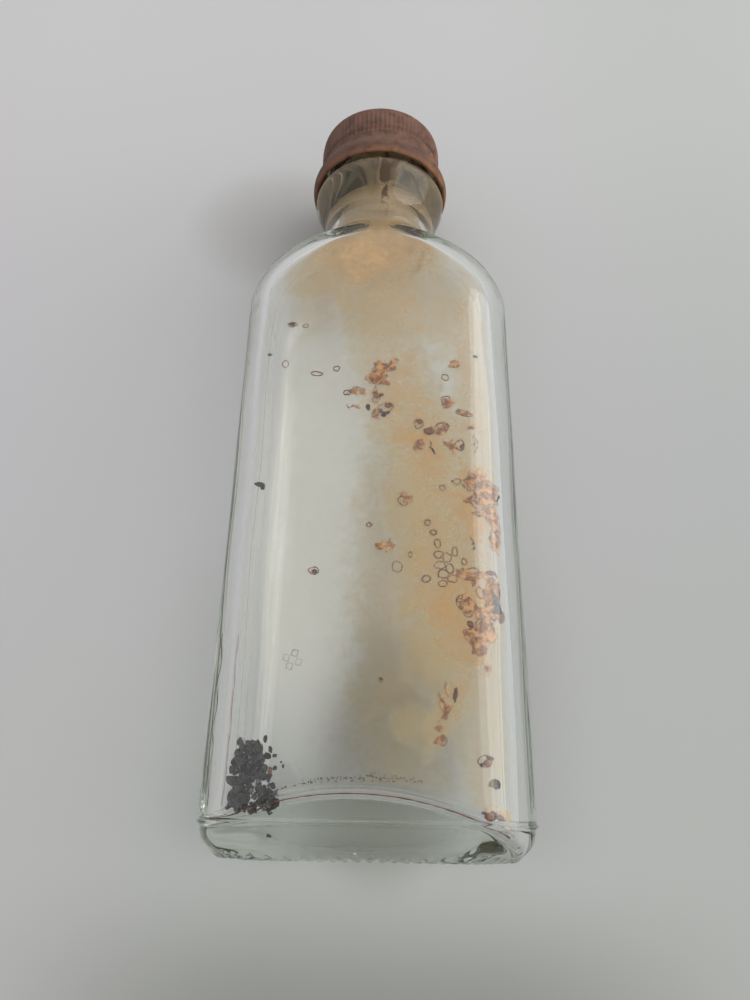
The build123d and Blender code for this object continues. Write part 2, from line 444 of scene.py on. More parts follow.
@dataclass(frozen=True)
class FilmFinish:
    """The dried film that clouds the inside of the glass."""

    pale: Colour = (0.90, 0.84, 0.75)
    thin: Colour = (0.58, 0.43, 0.18)
    thick: Colour = (0.50, 0.28, 0.09)
    haze: float = 0.15
    stains: tuple[Stain, ...] = (
        Stain(9, 50, 14, 42, 0.26, Face.BACK),
        Stain(4, 18, 14, 12, 0.12, Face.BACK),
        Stain(1.0, 86, 7.0, 21, 0.42, lean=-0.10),
        Stain(-8.5, 97, 8, 7, 0.36, lean=0.5),
        Stain(9.5, 92, 6, 13, 0.18, lean=-0.3),
        Stain(0, 103, 12, 8, 0.28),
        Stain(4.5, 69, 6.5, 11, 0.34),
        Stain(10, 61.5, 6, 8, 0.36),
        Stain(7.8, 52.5, 6, 11, 0.38),
        Stain(10.4, 42, 6, 9, 0.40, lean=0.3),
        Stain(14.6, 33.2, 5.8, 7.2, 0.36),
        Stain(11, 30, 6.5, 9, 0.32),
        Stain(16.0, 51.6, 4.4, 6.0, 0.46),
        Stain(16.0, 17.4, 3.8, 14, 0.40),
        Stain(10.4, 18.6, 2.4, 5.2, 0.46, lean=0.45),
        Stain(5.6, 18, 2.6, 2.6, 0.26),
        Stain(17.4, 4.6, 4.2, 2.4, 0.6),
        Stain(16.2, 66, 3.0, 38, 0.32),
        Stain(13.6, 78, 3.6, 15, 0.18, lean=-0.2),
    )

    def make(self) -> bpy.types.Material:
        """Return the film."""
        bench, made = Bench.material("dried_film")
        x, height, z = bench.axes()
        broad = bench.noise(70.0, 4.0, 0.6)
        ragged = bench.noise(380.0, 4.0, 0.65, 0.4)
        grain = bench.noise(1500.0, 3.0)
        stained = sum(self._patch(stain, x, height, z, ragged) for stain in self.stains)
        more_behind = (z < 0.0) * 0.6 + 0.4
        amount = stained + self.haze * (0.5 + broad) * more_behind * height.rise(16.0, 34.0)
        worn = amount * (0.55 + broad * 0.9) * (0.8 + grain * 0.4)
        nets = self._nets(bench, amount)
        facing = abs(z).rise(6.0, 11.5).most(height.rise(92.0, 104.0))
        drip = (abs(x - 1.0 - (ragged - 0.5) * 3.0) / 0.9).rise(1.0, 0.3)
        drip = drip * height.rise(110.0, 114.0) * (z > 0.0)
        neck = height.rise(94.0, 114.0) * (0.12 + broad * 0.65) + drip * 0.6
        whole = ((worn + nets * 0.10 + neck) * facing).held()
        tinted = stained.rise(0.02, 0.16).most(neck.rise(0.0, 0.12))
        colour = bench.mix(tinted, self.pale, self.thin)
        colour = bench.mix(whole.rise(0.15, 0.75), colour, self.thick)
        colour = bench.mix(height.rise(106.0, 116.0) * 0.85, colour, (0.42, 0.285, 0.14))
        colour = bench.mix(drip * 0.8, colour, (0.16, 0.07, 0.025))
        bench.finish(bench.surface({
            "Base Color": colour,
            "Roughness": 0.7,
            "Alpha": whole,
            "Normal": bench.bump(ragged, 0.08),
        }))
        return made

    @staticmethod
    def _patch(stain: Stain, x: Value, height: Value, z: Value, ragged: Value) -> Value:
        """Return how thick one stain lies.

        Args:
            stain: the patch.
            x: the place across.
            height: the height from the base.
            z: the height above the axis.
            ragged: the noise that breaks its edge.

        Returns:
            Its strength at each place.
        """
        across = (x - stain.x - (height - stain.height) * stain.lean) / stain.across
        along = (height - stain.height) / stain.along
        far = across * across + along * along + (ragged - 0.5) * 1.8
        side = z > 0.0 if stain.face is Face.FRONT else z < 0.0
        return far.rise(1.7, -0.3) * side * stain.strength

    @staticmethod
    def _nets(bench: Bench, amount: Value) -> Value:
        """Return the fine rims that drying drops left where the film is thick.

        Args:
            bench: the material's bench.
            amount: how thick the film is.

        Returns:
            The rims, from 0 to 1.
        """
        where = bench.wander(300.0, 0.0008)
        rims = bench.cells(330.0, where=where).rise(0.09, 0.02)
        patches = bench.noise(120.0, 2.0).rise(0.56, 0.70)
        return rims * patches * amount.rise(0.12, 0.5)


@dataclass(frozen=True)
class HazeFinish:
    """A thin tan skin of dust and dried drips over the neck, with darker patches just under the cap
    and a painted reflection of the cap's inside.
    """

    tan: Colour = (0.54, 0.40, 0.23)
    # brown colours the drips, the darker patches under the cap and the painted reflection of the
    # cap's inside.
    brown: Colour = (0.075, 0.042, 0.02)

    def make(self) -> bpy.types.Material:
        """Return the haze."""
        bench, made = Bench.material("neck_haze")
        x, height, z = bench.axes()
        broad = bench.noise(140.0, 3.0, 0.6)
        streaks = bench.noise(420.0, 4.0, 0.6, 0.8)
        front = z.rise(0.0, 4.0)
        # Darker brown patches in a band just under the cap's edge.
        under_cap = height.rise(121.8, 124.4) * streaks.rise(0.38, 0.56)
        wavy = streaks - 0.5
        # Painted reflection: a dark brown patch on the front of the bead that stands in for the
        # cap's dark inside reflected there.
        painted_cap_reflection = abs(x - 1.6 + wavy * 2.4).rise(2.5, 1.3) * height.rise(119.0, 120.0) * front
        drip = abs(x - 0.9 + wavy * 1.6).rise(1.2, 0.5) * height.rise(113.6, 115.4) * front
        # dark gathers the drips, the band under the cap and the painted reflection.
        dark = (under_cap + painted_cap_reflection * 0.9 + drip * streaks.rise(0.36, 0.56)).held()
        amount = 0.05 + broad.rise(0.40, 0.64) * 0.20 + dark * 0.62 + (painted_cap_reflection + drip) * 0.25
        bench.finish(bench.surface({
            "Base Color": bench.mix(dark, self.tan, self.brown),
            "Roughness": 0.22,
            "Alpha": amount.held(),
            "Normal": bench.bump(streaks, 0.05),
        }))
        return made


@dataclass(frozen=True)
class CrustFinish:
    """A crust or crumb of what dried inside: its two tones, its gloss and how much it hides."""

    name: str
    dark: Colour
    light: Colour
    rough: float = 0.35
    cover: float = 1.0
    patches: float = 900.0

    def make(self) -> bpy.types.Material:
        """Return the crust."""
        bench, made = Bench.material(self.name)
        patch = bench.noise(self.patches, 4.0, 0.6)
        grain = bench.noise(5200.0, 3.0)
        sockets: dict[str, Given] = {
            "Base Color": bench.mix(patch.rise(0.40, 0.62), self.dark, self.light),
            "Roughness": (self.rough + (grain - 0.5) * 0.4).held(),
            "Normal": bench.bump(patch * 0.6 + grain * 0.4, 0.10),
        }
        if self.cover < 1.0:
            sockets["Alpha"] = (self.cover + (patch - 0.5) * 2.2).held()
        bench.finish(bench.surface(sockets))
        return made


@dataclass(frozen=True)
class RustFinish:
    """Thin steel sheet, rusted through its finish, with painted shade towards its left and its
    lower part.
    """

    brown: Colour = (0.185, 0.086, 0.056)
    # dark is a rust tone and also the colour of the painted shade.
    dark: Colour = (0.095, 0.046, 0.033)
    orange: Colour = (0.340, 0.150, 0.060)
    dust: Colour = (0.300, 0.190, 0.140)

    def make(self) -> bpy.types.Material:
        """Return the rust."""
        bench, made = Bench.material("rusted_steel")
        x, height, _ = bench.axes()
        broad = bench.noise(110.0, 3.0, 0.6)
        patch = bench.noise(380.0, 5.0, 0.6, 0.3)
        grain = bench.noise(2600.0, 4.0, 0.7)
        pits = bench.cells(1900.0, "F1")
        colour = bench.mix(patch.rise(0.30, 0.62), self.dark, self.brown)
        warm = (broad + x * 0.016 - 0.52).rise(0.0, 0.34) * patch.rise(0.40, 0.66)
        colour = bench.mix(warm * 0.75, colour, self.orange)
        edge = height.rise(127.0, 125.8) * patch.rise(0.25, 0.5)
        colour = bench.mix(edge * 0.8, colour, self.orange)
        # Painted shade: the cap grows darker towards its left, away from the key light, and towards
        # its lower part.
        shade = (0.42 - broad - x * 0.012 - (height - 134.0) * 0.02).rise(-0.2, 0.2)
        colour = bench.mix(shade * 0.6, colour, self.dark)
        colour = bench.mix(grain.rise(0.55, 0.78) * 0.35, colour, self.dust)
        relief = patch * 0.5 + grain * 0.4 + pits * 0.3
        bench.finish(bench.surface({
            "Base Color": colour,
            "Roughness": (0.78 + (grain - 0.5) * 0.4).held(),
            "Metallic": patch.rise(0.5, 0.3) * 0.25,
            "Normal": bench.bump(relief, 0.16),
        }))
        return made


@dataclass(frozen=True)
class PaperFinish:
    """Paper or board, stained by what it touched."""

    name: str
    clean: Colour
    stained: Colour
    rough: float
    fibre: float

    def make(self) -> bpy.types.Material:
        """Return the paper."""
        bench, made = Bench.material(self.name)
        stain = bench.noise(160.0, 4.0, 0.6)
        fibres = bench.noise(self.fibre, 5.0, 0.7, 1.2)
        colour = bench.mix(stain.rise(0.40, 0.62), self.clean, self.stained)
        colour = bench.mix(fibres.rise(0.5, 0.8) * 0.35, colour, self.clean)
        bench.finish(bench.surface({
            "Base Color": colour,
            "Roughness": (self.rough + (fibres - 0.5) * 0.2).held(),
            "Normal": bench.bump(fibres, 0.06),
        }))
        return made


@dataclass(frozen=True)
class FloorFinish:
    """Pale cool card, with painted light and shade: lighter beyond the cap, darker towards and
    before the base.
    """

    # far, foot and before are painted light and shade on one pale card: lighter beyond the cap, a
    # little darker towards the base, and a painted shadow in front of it.
    far: Colour = (0.590, 0.592, 0.590)
    middle: Colour = (0.515, 0.515, 0.520)
    foot: Colour = (0.495, 0.500, 0.488)
    before: Colour = (0.275, 0.278, 0.258)

    def make(self) -> bpy.types.Material:
        """Return the card."""
        bench, made = Bench.material("pale_card")
        x, height, _ = bench.axes()
        # Painted light: the card grows lighter beyond the cap, and a little darker and greener
        # towards the base.
        colour = bench.mix(height.rise(60.0, 200.0), self.middle, self.far)
        colour = bench.mix(height.rise(70.0, 0.0), colour, self.foot)
        # Painted shadow on the card in front of the base, fading out to the sides.
        shade = height.rise(0.0, -24.0) * (abs(x) / 75.0).rise(1.0, 0.2)
        colour = bench.mix(shade * 0.9, colour, self.before)
        # Painted light lifts the left of the card, with a faint lavender cast; painted shade
        # darkens the right, with a faint green cast.
        colour = bench.mix(x.rise(-10.0, -90.0) * 0.8, colour, (1.09, 1.05, 1.08), "MULTIPLY")
        colour = bench.mix(x.rise(10.0, 90.0) * 0.8, colour, (0.90, 0.915, 0.895), "MULTIPLY")
        # Painted shade on the card beside the lower half of the bottle.
        beside = abs(x).rise(42.0, 18.0) * height.rise(-4.0, 6.0) * height.rise(74.0, 22.0)
        colour = bench.mix(beside, colour, (0.84, 0.83, 0.84), "MULTIPLY")
        # Painted shadow on the card under the lower half of the bottle.
        under = bench.oval(x, height, (1.5, 18.0), (256.0, 576.0)).rise(1.2, 0.0)
        colour = bench.mix(under, colour, (0.54, 0.52, 0.48), "MULTIPLY")
        # Painted light: a paler patch on the card under the left of the bottle.
        clear = bench.oval(x, height, (-13.0, 64.0), (190.0, 3000.0)).rise(1.2, 0.2)
        colour = bench.mix(clear, colour, (0.66, 0.64, 0.61))
        # Painted shadow of the cap, on the card to its left.
        left = bench.oval(x, height, (-22.0, 132.0), (620.0, 420.0)).rise(1.0, 0.0)
        colour = bench.mix(left, colour, (0.84, 0.82, 0.81), "MULTIPLY")
        bench.finish(bench.surface({"Base Color": colour, "Roughness": 0.9}))
        return made


# --- Forms ---------------------------------------------------------------------------
def eased(part: Any) -> Any:
    """Return a share from 0 to 1 that starts and ends gently."""
    return part * part * (3 - 2 * part)


@dataclass(frozen=True)
class ShoulderCurve:
    """One half of an outline: a straight wall, a round shoulder and a hollow up to the neck."""

    half_size: float
    neck: float
    start: float
    convex: float
    hollow: float

    @property
    def end(self) -> float:
        """The height where the hollow meets the neck."""
        reach = self.neck + self.hollow - (self.half_size - self.convex)
        return self.start + math.sqrt((self.convex + self.hollow) ** 2 - reach**2)

    @property
    def join(self) -> float:
        """The height where the shoulder turns into the hollow."""
        return self.start + (self.end - self.start) * self.convex / (self.convex + self.hollow)

    def at(self, height: np.ndarray) -> np.ndarray:
        """Work out the outline.

        Args:
            height: the heights from the base.

        Returns:
            The half size at each height.
        """
        over = np.clip(height - self.start, 0, self.join - self.start)
        under = np.clip(self.end - height, 0, self.end - self.join)
        round_part = self.half_size - self.convex + np.sqrt(self.convex**2 - over**2)
        hollow_part = self.neck + self.hollow - np.sqrt(self.hollow**2 - under**2)
        return np.where(height <= self.join, round_part, hollow_part)


@dataclass(frozen=True)
class Spokes:
    """Directions from the axis, evenly spaced along a rounded section."""

    across: np.ndarray
    up: np.ndarray

    @classmethod
    def round_section(cls, wide: float, deep: float, corner: float, count: int,
                      close_to_seams: Sequence[float] = ()) -> "Spokes":
        """Space spokes along a rounded section.

        Args:
            wide: half its width.
            deep: half its depth.
            corner: its corner radius.
            count: how many spokes.
            close_to_seams: distances from the two side seams of the extra spokes beside them.

        Returns:
            The spokes.
        """
        turn = np.linspace(0, 2 * math.pi, 4001)[:-1]
        dense = cls(np.cos(turn), np.sin(turn))
        reach = dense.reach(wide, deep, corner)
        x, z = dense.across * reach, dense.up * reach
        steps = np.hypot(np.diff(x, append=x[0]), np.diff(z, append=z[0]))
        length = np.concatenate([[0], np.cumsum(steps)])
        places = np.arange(count) / count * length[-1]
        even = np.interp(places, length, np.append(turn, 2 * math.pi))
        seams = [(seam, near) for seam in (0, math.pi) for near in close_to_seams]
        extra = [seam + sign * near / wide for seam, near in seams for sign in (-1, 1)]
        kept = np.unique(np.round(np.mod(np.concatenate([even, extra]), 2 * math.pi), 9))
        return cls(np.cos(kept), np.sin(kept))

    def reach(self, wide: Any, deep: Any, corner: Any) -> np.ndarray:
        """Return how far each spoke runs to a rounded section.

        Args:
            wide: half its width, one number or one to a spoke.
            deep: half its depth.
            corner: its corner radius.

        Returns:
            The distances.
        """
        wide, deep, corner = (
            np.broadcast_to(np.asarray(size, float), self.across.shape)
            for size in (wide, deep, corner))
        corner = np.minimum(corner, np.minimum(wide, deep) - 1e-6)
        c, s = np.maximum(np.abs(self.across), 1e-12), np.maximum(np.abs(self.up), 1e-12)
        px, pz = wide - corner, deep - corner
        dot = px * c + pz * s
        bend = dot + np.sqrt(np.maximum(dot**2 - px**2 - pz**2 + corner**2, 0))
        return np.where(wide / c * s <= pz, wide / c, np.where(deep / s * c <= px, deep / s, bend))

    def arc(self, wide: float, deep: float, corner: float) -> tuple[np.ndarray, float]:
        """Measure along a rounded section.

        Args:
            wide: half its width.
            deep: half its depth.
            corner: its corner radius.

        Returns:
            Each spoke's distance along it, and the whole way round.
        """
        reach = self.reach(wide, deep, corner)
        x, z = self.across * reach, self.up * reach
        steps = np.hypot(np.diff(x, append=x[0]), np.diff(z, append=z[0]))
        return np.concatenate([[0], np.cumsum(steps)[:-1]]), float(steps.sum())


class RingMesh:
    """A mesh of rings round the axis, from one pole or open end to the other."""

    def __init__(self, spokes: Spokes) -> None:
        """Start with no rings."""
        self.spokes = spokes
        self.rings: list[np.ndarray] = []

    def ring(self, height: Any, reach: Any) -> None:
        """Add a ring.

        Args:
            height: its height, one number or one to a spoke.
            reach: its distance from the axis along each spoke.
        """
        across, up = self.spokes.across, self.spokes.up
        reach = np.broadcast_to(np.asarray(reach, float), across.shape)
        height = np.broadcast_to(np.asarray(height, float), across.shape)
        self.rings.append(np.stack([
            across * reach, height - OVERALL_HEIGHT / 2, AXIS_HEIGHT + up * reach], axis=1))

    def build(self, name: str, closed: bool = True) -> bpy.types.Object:
        """Make the object.

        Args:
            name: its name.
            closed: whether both ends close at a pole.

        Returns:
            The object, with its faces turned outwards and smooth.
        """
        count, total = len(self.spokes.across), len(self.rings)
        points = np.concatenate(self.rings)
        index = np.arange(count)
        after = np.roll(index, -1)
        faces: list[list[int]] = []
        for row in range(total - 1):
            a, b = row * count, (row + 1) * count
            faces += np.stack([a + index, a + after, b + after, b + index], axis=1).tolist()
        if closed:
            first, last = self.rings[0].mean(axis=0), self.rings[-1].mean(axis=0)
            points = np.concatenate([points, [first, last]])
            low, high, end = total * count, total * count + 1, (total - 1) * count
            faces += [[low, int(after[i]), int(i)] for i in index]
            faces += [[high, end + int(i), end + int(after[i])] for i in index]
        return solid_from(name, points, faces)


def solid_from(name: str, points: np.ndarray, faces: Sequence[Sequence[int]]) -> bpy.types.Object:
    """Make a smooth mesh object whose faces look outwards.

    Args:
        name: the object's name.
        points: its points in millimetres.
        faces: its faces, all turned the same way.

    Returns:
        The object.
    """
    points = np.asarray(points, float) * MILLIMETRE
    volume = 0.0
    for face in faces[:: max(1, len(faces) // SAMPLED_FACES)]:
        for k in range(1, len(face) - 1):
            volume += float(np.dot(points[face[0]], np.cross(points[face[k]], points[face[k + 1]])))
    turned = [list(reversed(face)) if volume < 0 else list(face) for face in faces]
    mesh = bpy.data.meshes.new(name)
    mesh.from_pydata(points.tolist(), [], turned)
    mesh.shade_smooth()
    mesh.update()
    made = bpy.data.objects.new(name, mesh)
    bpy.context.scene.collection.objects.link(made)
    return made


def dress(piece: bpy.types.Object, body: Body, *finishes: bpy.types.Material) -> bpy.types.Object:
    """Give a piece its materials and let it ride.

    Args:
        piece: the object.
        body: what it rides on.
        finishes: its materials, in slot order.

    Returns:
        The piece.
    """
    piece.data.materials.clear()
    for finish in finishes:
        piece.data.materials.append(finish)
    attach(piece, body.value)
    log.info("%s: %d points, rides on %s", piece.name, len(piece.data.vertices), body.value)
    return piece


def smooth_corners(points: Sequence[tuple[float, float]], rounds: int = 3) -> Line:
    """Cut the corners of an open line again and again.

    Args:
        points: the line's points.
        rounds: how often its corners are cut.

    Returns:
        The smoother line, with the same ends.
    """
    line = [np.array(p, float) for p in points]
    for _ in range(rounds):
        cut = [line[0]]
        for a, b in zip(line, line[1:]):
            cut += [a * 0.75 + b * 0.25, a * 0.25 + b * 0.75]
        line = [*cut, line[-1]]
    return [(float(p[0]), float(p[1])) for p in line]


# --- The glass -----------------------------------------------------------------------
@dataclass
class GlassBottle:
    """The bottle: flat body, arched floor, hollow base, neck, bead and threaded finish."""

    height: float = 138.0
    half_width: float = 23.7
    half_depth: float = 14.5
    corner: float = 8.7
    heel_radius: float = 4.3
    heel_swell: float = 0.3
    swell_height: float = 17.0
    panel_height: float = 40.0
    side_wall: float = 2.6
    panel_wall: float = 2.2
    shoulder_height: float = 92.80
    panel_turn_height: float = 89.40
    shoulder_radius: float = 17.8
    panel_turn_radius: float = 66.0
    neck_radius: float = 10.9
    neck_bore: float = 8.4
    waist_top: float = 117.5
    taper: tuple[tuple[float, float], ...] = ((11.75, 119.4), (12.75, 121.7))
    side_root: float = 3.6
    panel_root: float = 9.0
    bead_radius: float = 13.2
    bead_height: float = 123.7
    bead_top: float = 124.8
    finish_radius: float = 10.77
    lip_round: float = 0.8
    bore_round: float = 0.6
    thread_crest: float = 11.94
    thread_pitch: float = 3.175
    thread_foot: float = 131.6
    thread_turns: float = 1.25
    bore_radius: float = 6.75
    floor_crown: float = 7.8
    floor_edge: float = 2.6
    floor_fillet: float = 2.2
    floor_lean: float = 0.045
    wall_foot: float = 20.0
    ledge: float = 0.33
    bearing_width: float = 2.4
    knurl_pitch: float = 1.6
    push_up_rise: float = 3.6
    seam_height: float = 4.9
    seam_stand: float = 0.07
    ripple: float = 0.03
    wave: float = 0.10
    spoke_count: int = 440
    seam_spokes: tuple[float, ...] = (0.08, 0.18, 0.32)

    def __post_init__(self) -> None:
        """Set out the curves of the outer and the inner form."""
        self.outer_side = ShoulderCurve(
            self.half_width, self.neck_radius, self.shoulder_height,
            self.shoulder_radius, self.side_root)
        self.outer_panel = ShoulderCurve(
            self.half_depth, self.neck_radius, self.panel_turn_height,
            self.panel_turn_radius, self.panel_root)
        self.inner_side = ShoulderCurve(
            self.half_width - self.side_wall, self.neck_bore, self.shoulder_height,
            self.shoulder_radius - self.side_wall, self.side_root + self.side_wall)
        self.inner_panel = ShoulderCurve(
            self.half_depth - self.panel_wall, self.neck_bore, self.panel_turn_height,
            self.panel_turn_radius - self.panel_wall, self.panel_root + self.panel_wall)
        sag = self.floor_crown - self.floor_edge
        chord = self.half_width - self.side_wall
        self.floor_radius = (chord**2 + sag**2) / (2 * sag)
        self.spokes = Spokes.round_section(
            self.half_width, self.half_depth, self.corner, self.spoke_count, self.seam_spokes)

    def outer(self, height: Any) -> np.ndarray:
        """Measure the outside.

        Args:
            height: the height from the base, one number or one to a spoke.

        Returns:
            How far the outside stands from the axis along each spoke.
        """
        height = np.asarray(height, float)
        fade = self.panel_height - self.swell_height
        part = np.clip((height - self.swell_height) / fade, -1, 1)
        swell = self.heel_swell * np.cos(math.pi / 2 * part) ** 2 * (height < self.panel_height)
        corner = self._rounding(height, self.outer_panel.end, self.corner, self.neck_radius)
        wide, deep = self.outer_side.at(height) + swell, self.outer_panel.at(height)
        return self.spokes.reach(wide, deep, corner)

    def inner(self, height: Any) -> np.ndarray:
        """Measure the inside.

        Args:
            height: the height from the base, one number or one to a spoke.

        Returns:
            How far the inside stands from the axis along each spoke.
        """
        height = np.asarray(height, float)
        corner = self._rounding(height, self.inner_panel.end, self.inner_corner, self.neck_bore)
        return self.spokes.reach(self.inner_side.at(height), self.inner_panel.at(height), corner)

    def _rounding(self, height: np.ndarray, end: float, corner: float, neck: float) -> np.ndarray:
        """Work out how round the section is on its way from the body to the neck.

        Args:
            height: the height from the base.
            end: the height where the section is a circle.
            corner: the body's corner radius.
            neck: the neck's radius.

        Returns:
            The corner radius at that height.
        """
        grown = np.clip((height - self.panel_turn_height) / (end - self.panel_turn_height), 0, 1)
        return corner + (neck - corner) * eased(grown)

    @property
    def inner_corner(self) -> float:
        """The corner radius of the inside."""
        return self.corner - (self.side_wall + self.panel_wall) / 2

    def floor(self, x: np.ndarray) -> np.ndarray:
        """Return the height of the arched floor at each x."""
        arch = np.sqrt(self.floor_radius**2 - x**2)
        return self.floor_crown - self.floor_radius + arch - self.floor_lean * x

    def bead_line(self, start: float) -> Line:
        """Set out the neck from its waist to the top of the bead.

        Args:
            start: the height where the line starts.

        Returns:
            The line's corners, as radius and height.
        """
        return [
            (self.neck_radius, start), (self.neck_radius, self.waist_top), *self.taper,
            (self.bead_radius, self.bead_height - 0.4), (self.bead_radius, self.bead_height + 0.5),
            (self.bead_radius - 0.45, self.bead_top - 0.05)]

    def build(self) -> bpy.types.Object:
        """Return the glass as one closed mesh."""
        mesh = RingMesh(self.spokes)
        self._base(mesh)
        self._walls(mesh)
        self._neck(mesh)
        self._bore(mesh)
        self._inside(mesh)
        return mesh.build("glass_body")

    def _base(self, mesh: RingMesh) -> None:
        """Add the push-up, the knurled ring and the heel.

        Args:
            mesh: what the rings are added to.
        """
        foot = [size - self.heel_radius for size in (self.half_width, self.half_depth, self.corner)]
        wide, deep = foot[0] - self.bearing_width, foot[1] - self.bearing_width
        inner, outer = self.spokes.reach(wide, deep, deep), self.spokes.reach(*foot)
        self._push_up(mesh, wide, deep)
        along, around = self.spokes.arc(*(size - self.bearing_width / 2 for size in foot))
        count = round(around / self.knurl_pitch)
        ridge = (0.5 + 0.5 * np.cos(2 * math.pi * along / around * count)) ** 0.8
        for part in np.linspace(0, 1, 11)[1:-1]:
            window = min(1.0, 3.4 * min(part, 1 - part))
            mesh.ring(self.ledge * (1 - ridge * window), inner + (outer - inner) * part)
        for turn in np.linspace(0, math.pi / 2, 19):
            inset = self.heel_radius * (1 - math.sin(turn))
            height = self.ledge + self.heel_radius * (1 - math.cos(turn))
            height = height - self.ledge * ridge * math.sin(min(math.pi, turn * 5.0)) ** 2 * 0.9
            reach = self.spokes.reach(
                self.half_width - inset, self.half_depth - inset, self.corner - inset)
            mesh.ring(height, reach + self._seams(height))

    def _push_up(self, mesh: RingMesh, wide: float, deep: float) -> None:
        """Add the hollow that is pressed up into the base.

        Args:
            mesh: what the rings are added to.
            wide: half the hollow's width.
            deep: half its depth.
        """
        edge = self.spokes.reach(wide, deep, deep)
        arch = (wide**2 + self.push_up_rise**2) / (2 * self.push_up_rise)
        for part in np.linspace(0.04, 1, 18):
            reach = edge * part
            x, z = self.spokes.across * reach, self.spokes.up * reach
            beside = deep - np.hypot(np.maximum(np.abs(x) - (wide - deep), 0), z)
            crown = self.push_up_rise - arch + np.sqrt(np.maximum(arch**2 - x**2, 0))
            lean = np.maximum(beside, 0) * 0.9
            blend = np.clip(0.5 + (crown - lean) / 2.4, 0, 1)
            rise = crown * (1 - blend) + lean * blend - 0.6 * blend * (1 - blend)
            mesh.ring(self.ledge + np.maximum(rise, 0), reach)

    def _seams(self, height: Any) -> np.ndarray:
        """Work out the seams that the mould left.

        Args:
            height: the height from the base, one number or one to a spoke.

        Returns:
            How far they stand out along each spoke.
        """
        beside = np.abs(self.spokes.up) * self.half_width
        upright = self.seam_stand * np.exp(-((beside / 0.22) ** 2))
        round_heel = (0.16 + 0.12 * np.abs(self.spokes.across) ** 6) * np.exp(
            -(((height - self.seam_height) / 0.26) ** 2))
        return upright + round_heel

    def _walls(self, mesh: RingMesh) -> None:
        """Add the walls and the shoulder up to the neck.

        Args:
            mesh: what the rings are added to.
        """
        fine = np.arange(4.72, 5.7, 0.12)
        walls = np.concatenate([fine, np.linspace(6.2, self.panel_turn_height, 46)])
        shoulder = np.linspace(self.panel_turn_height + 0.5, self.outer_side.end, 56)
        for height in np.concatenate([walls, shoulder]):
            ripple = self.ripple * math.sin(height * 0.21 + 0.6) * (height < 90)
            mesh.ring(height, self.outer(height) + self._seams(float(height)) + ripple)

    def _neck(self, mesh: RingMesh) -> None:
        """Add the waist, the taper, the bead and the threaded finish.

        Args:
            mesh: what the rings are added to.
        """
        line = smooth_corners([
            *self.bead_line(self.outer_side.end + 0.2), (11.6, self.bead_top),
            (self.finish_radius, 125.1), (self.finish_radius, 126.0)])
        for radius, height in line[1:]:
            mesh.ring(height, radius)
        turn = np.mod(math.pi / 2 - np.arctan2(self.spokes.up, self.spokes.across), 2 * math.pi)
        for height in np.linspace(126.3, self.height - 0.9, 46):
            mesh.ring(height, self.finish_radius + self._thread(turn, float(height)))
        for bend in np.linspace(0, math.pi / 2, 6):
            fall = self.lip_round * (1 - math.sin(bend))
            inset = self.lip_round * (1 - math.cos(bend))
            mesh.ring(self.height - fall, self.finish_radius - inset)

    def _thread(self, turn: np.ndarray, height: float) -> np.ndarray:
        """Work out the thread at one height.

        Args:
            turn: each spoke's turn about the axis.
            height: the height from the base.

        Returns:
            How far the thread stands out along each spoke.
        """
        out = np.zeros_like(turn)
        for extra in range(3):
            whole = turn + 2 * math.pi * extra
            middle = self.thread_foot + self.thread_pitch * whole / (2 * math.pi)
            ends = np.clip(np.minimum(whole, self.thread_turns * 2 * math.pi - whole) / 0.45, 0, 1)
            part = np.clip(1.35 - np.abs(height - middle) / 0.95, 0, 1)
            out = np.maximum(out, eased(part) * eased(ends))
        return out * (self.thread_crest - self.finish_radius)

    def _bore(self, mesh: RingMesh) -> None:
        """Add the lip and the bore down to the neck.

        Args:
            mesh: what the rings are added to.
        """
        for bend in np.linspace(0, math.pi / 2, 6):
            fall = self.bore_round * (1 - math.cos(bend))
            inset = self.bore_round * (1 - math.sin(bend))
            mesh.ring(self.height - fall, self.bore_radius + inset)
        line = smooth_corners([
            (self.bore_radius, self.height - 1.4), (self.bore_radius, 122.2),
            (self.bore_radius + 0.1, 121.0), (7.6, 119.6),
            (self.neck_bore, 118.2), (self.neck_bore, self.inner_side.end + 0.3)])
        for radius, height in line:
            mesh.ring(height, radius)

    def _inside(self, mesh: RingMesh) -> None:
        """Add the inner shoulder, walls, fillet and arched floor.

        Args:
            mesh: what the rings are added to.
        """
        shoulder = np.linspace(self.inner_side.end, self.panel_turn_height, 46)
        walls = np.linspace(self.panel_turn_height, self.wall_foot, 30)[1:]
        for height in np.concatenate([shoulder, walls]):
            mesh.ring(height, self.inner(height) + self.waves(float(height)))
        wall = self.inner(self.wall_foot)
        foot = self.floor(self.spokes.across * wall) + self.floor_fillet
        for part in np.linspace(0, 1, 8)[1:]:
            mesh.ring(self.wall_foot + (foot - self.wall_foot) * part, wall)
        sizes = (
            self.half_width - self.side_wall, self.half_depth - self.panel_wall, self.inner_corner)
        for bend in np.linspace(0, math.pi / 2, 9)[1:]:
            inset = self.floor_fillet * (1 - math.cos(bend))
            reach = self.spokes.reach(*(size - inset for size in sizes))
            rise = self.floor_fillet * (1 - math.sin(bend))
            mesh.ring(self.floor(self.spokes.across * reach) + rise, reach)
        edge = self.spokes.reach(*(size - self.floor_fillet for size in sizes))
        for part in np.linspace(1, 0.04, 16)[1:]:
            reach = edge * part
            mesh.ring(self.floor(self.spokes.across * reach), reach)

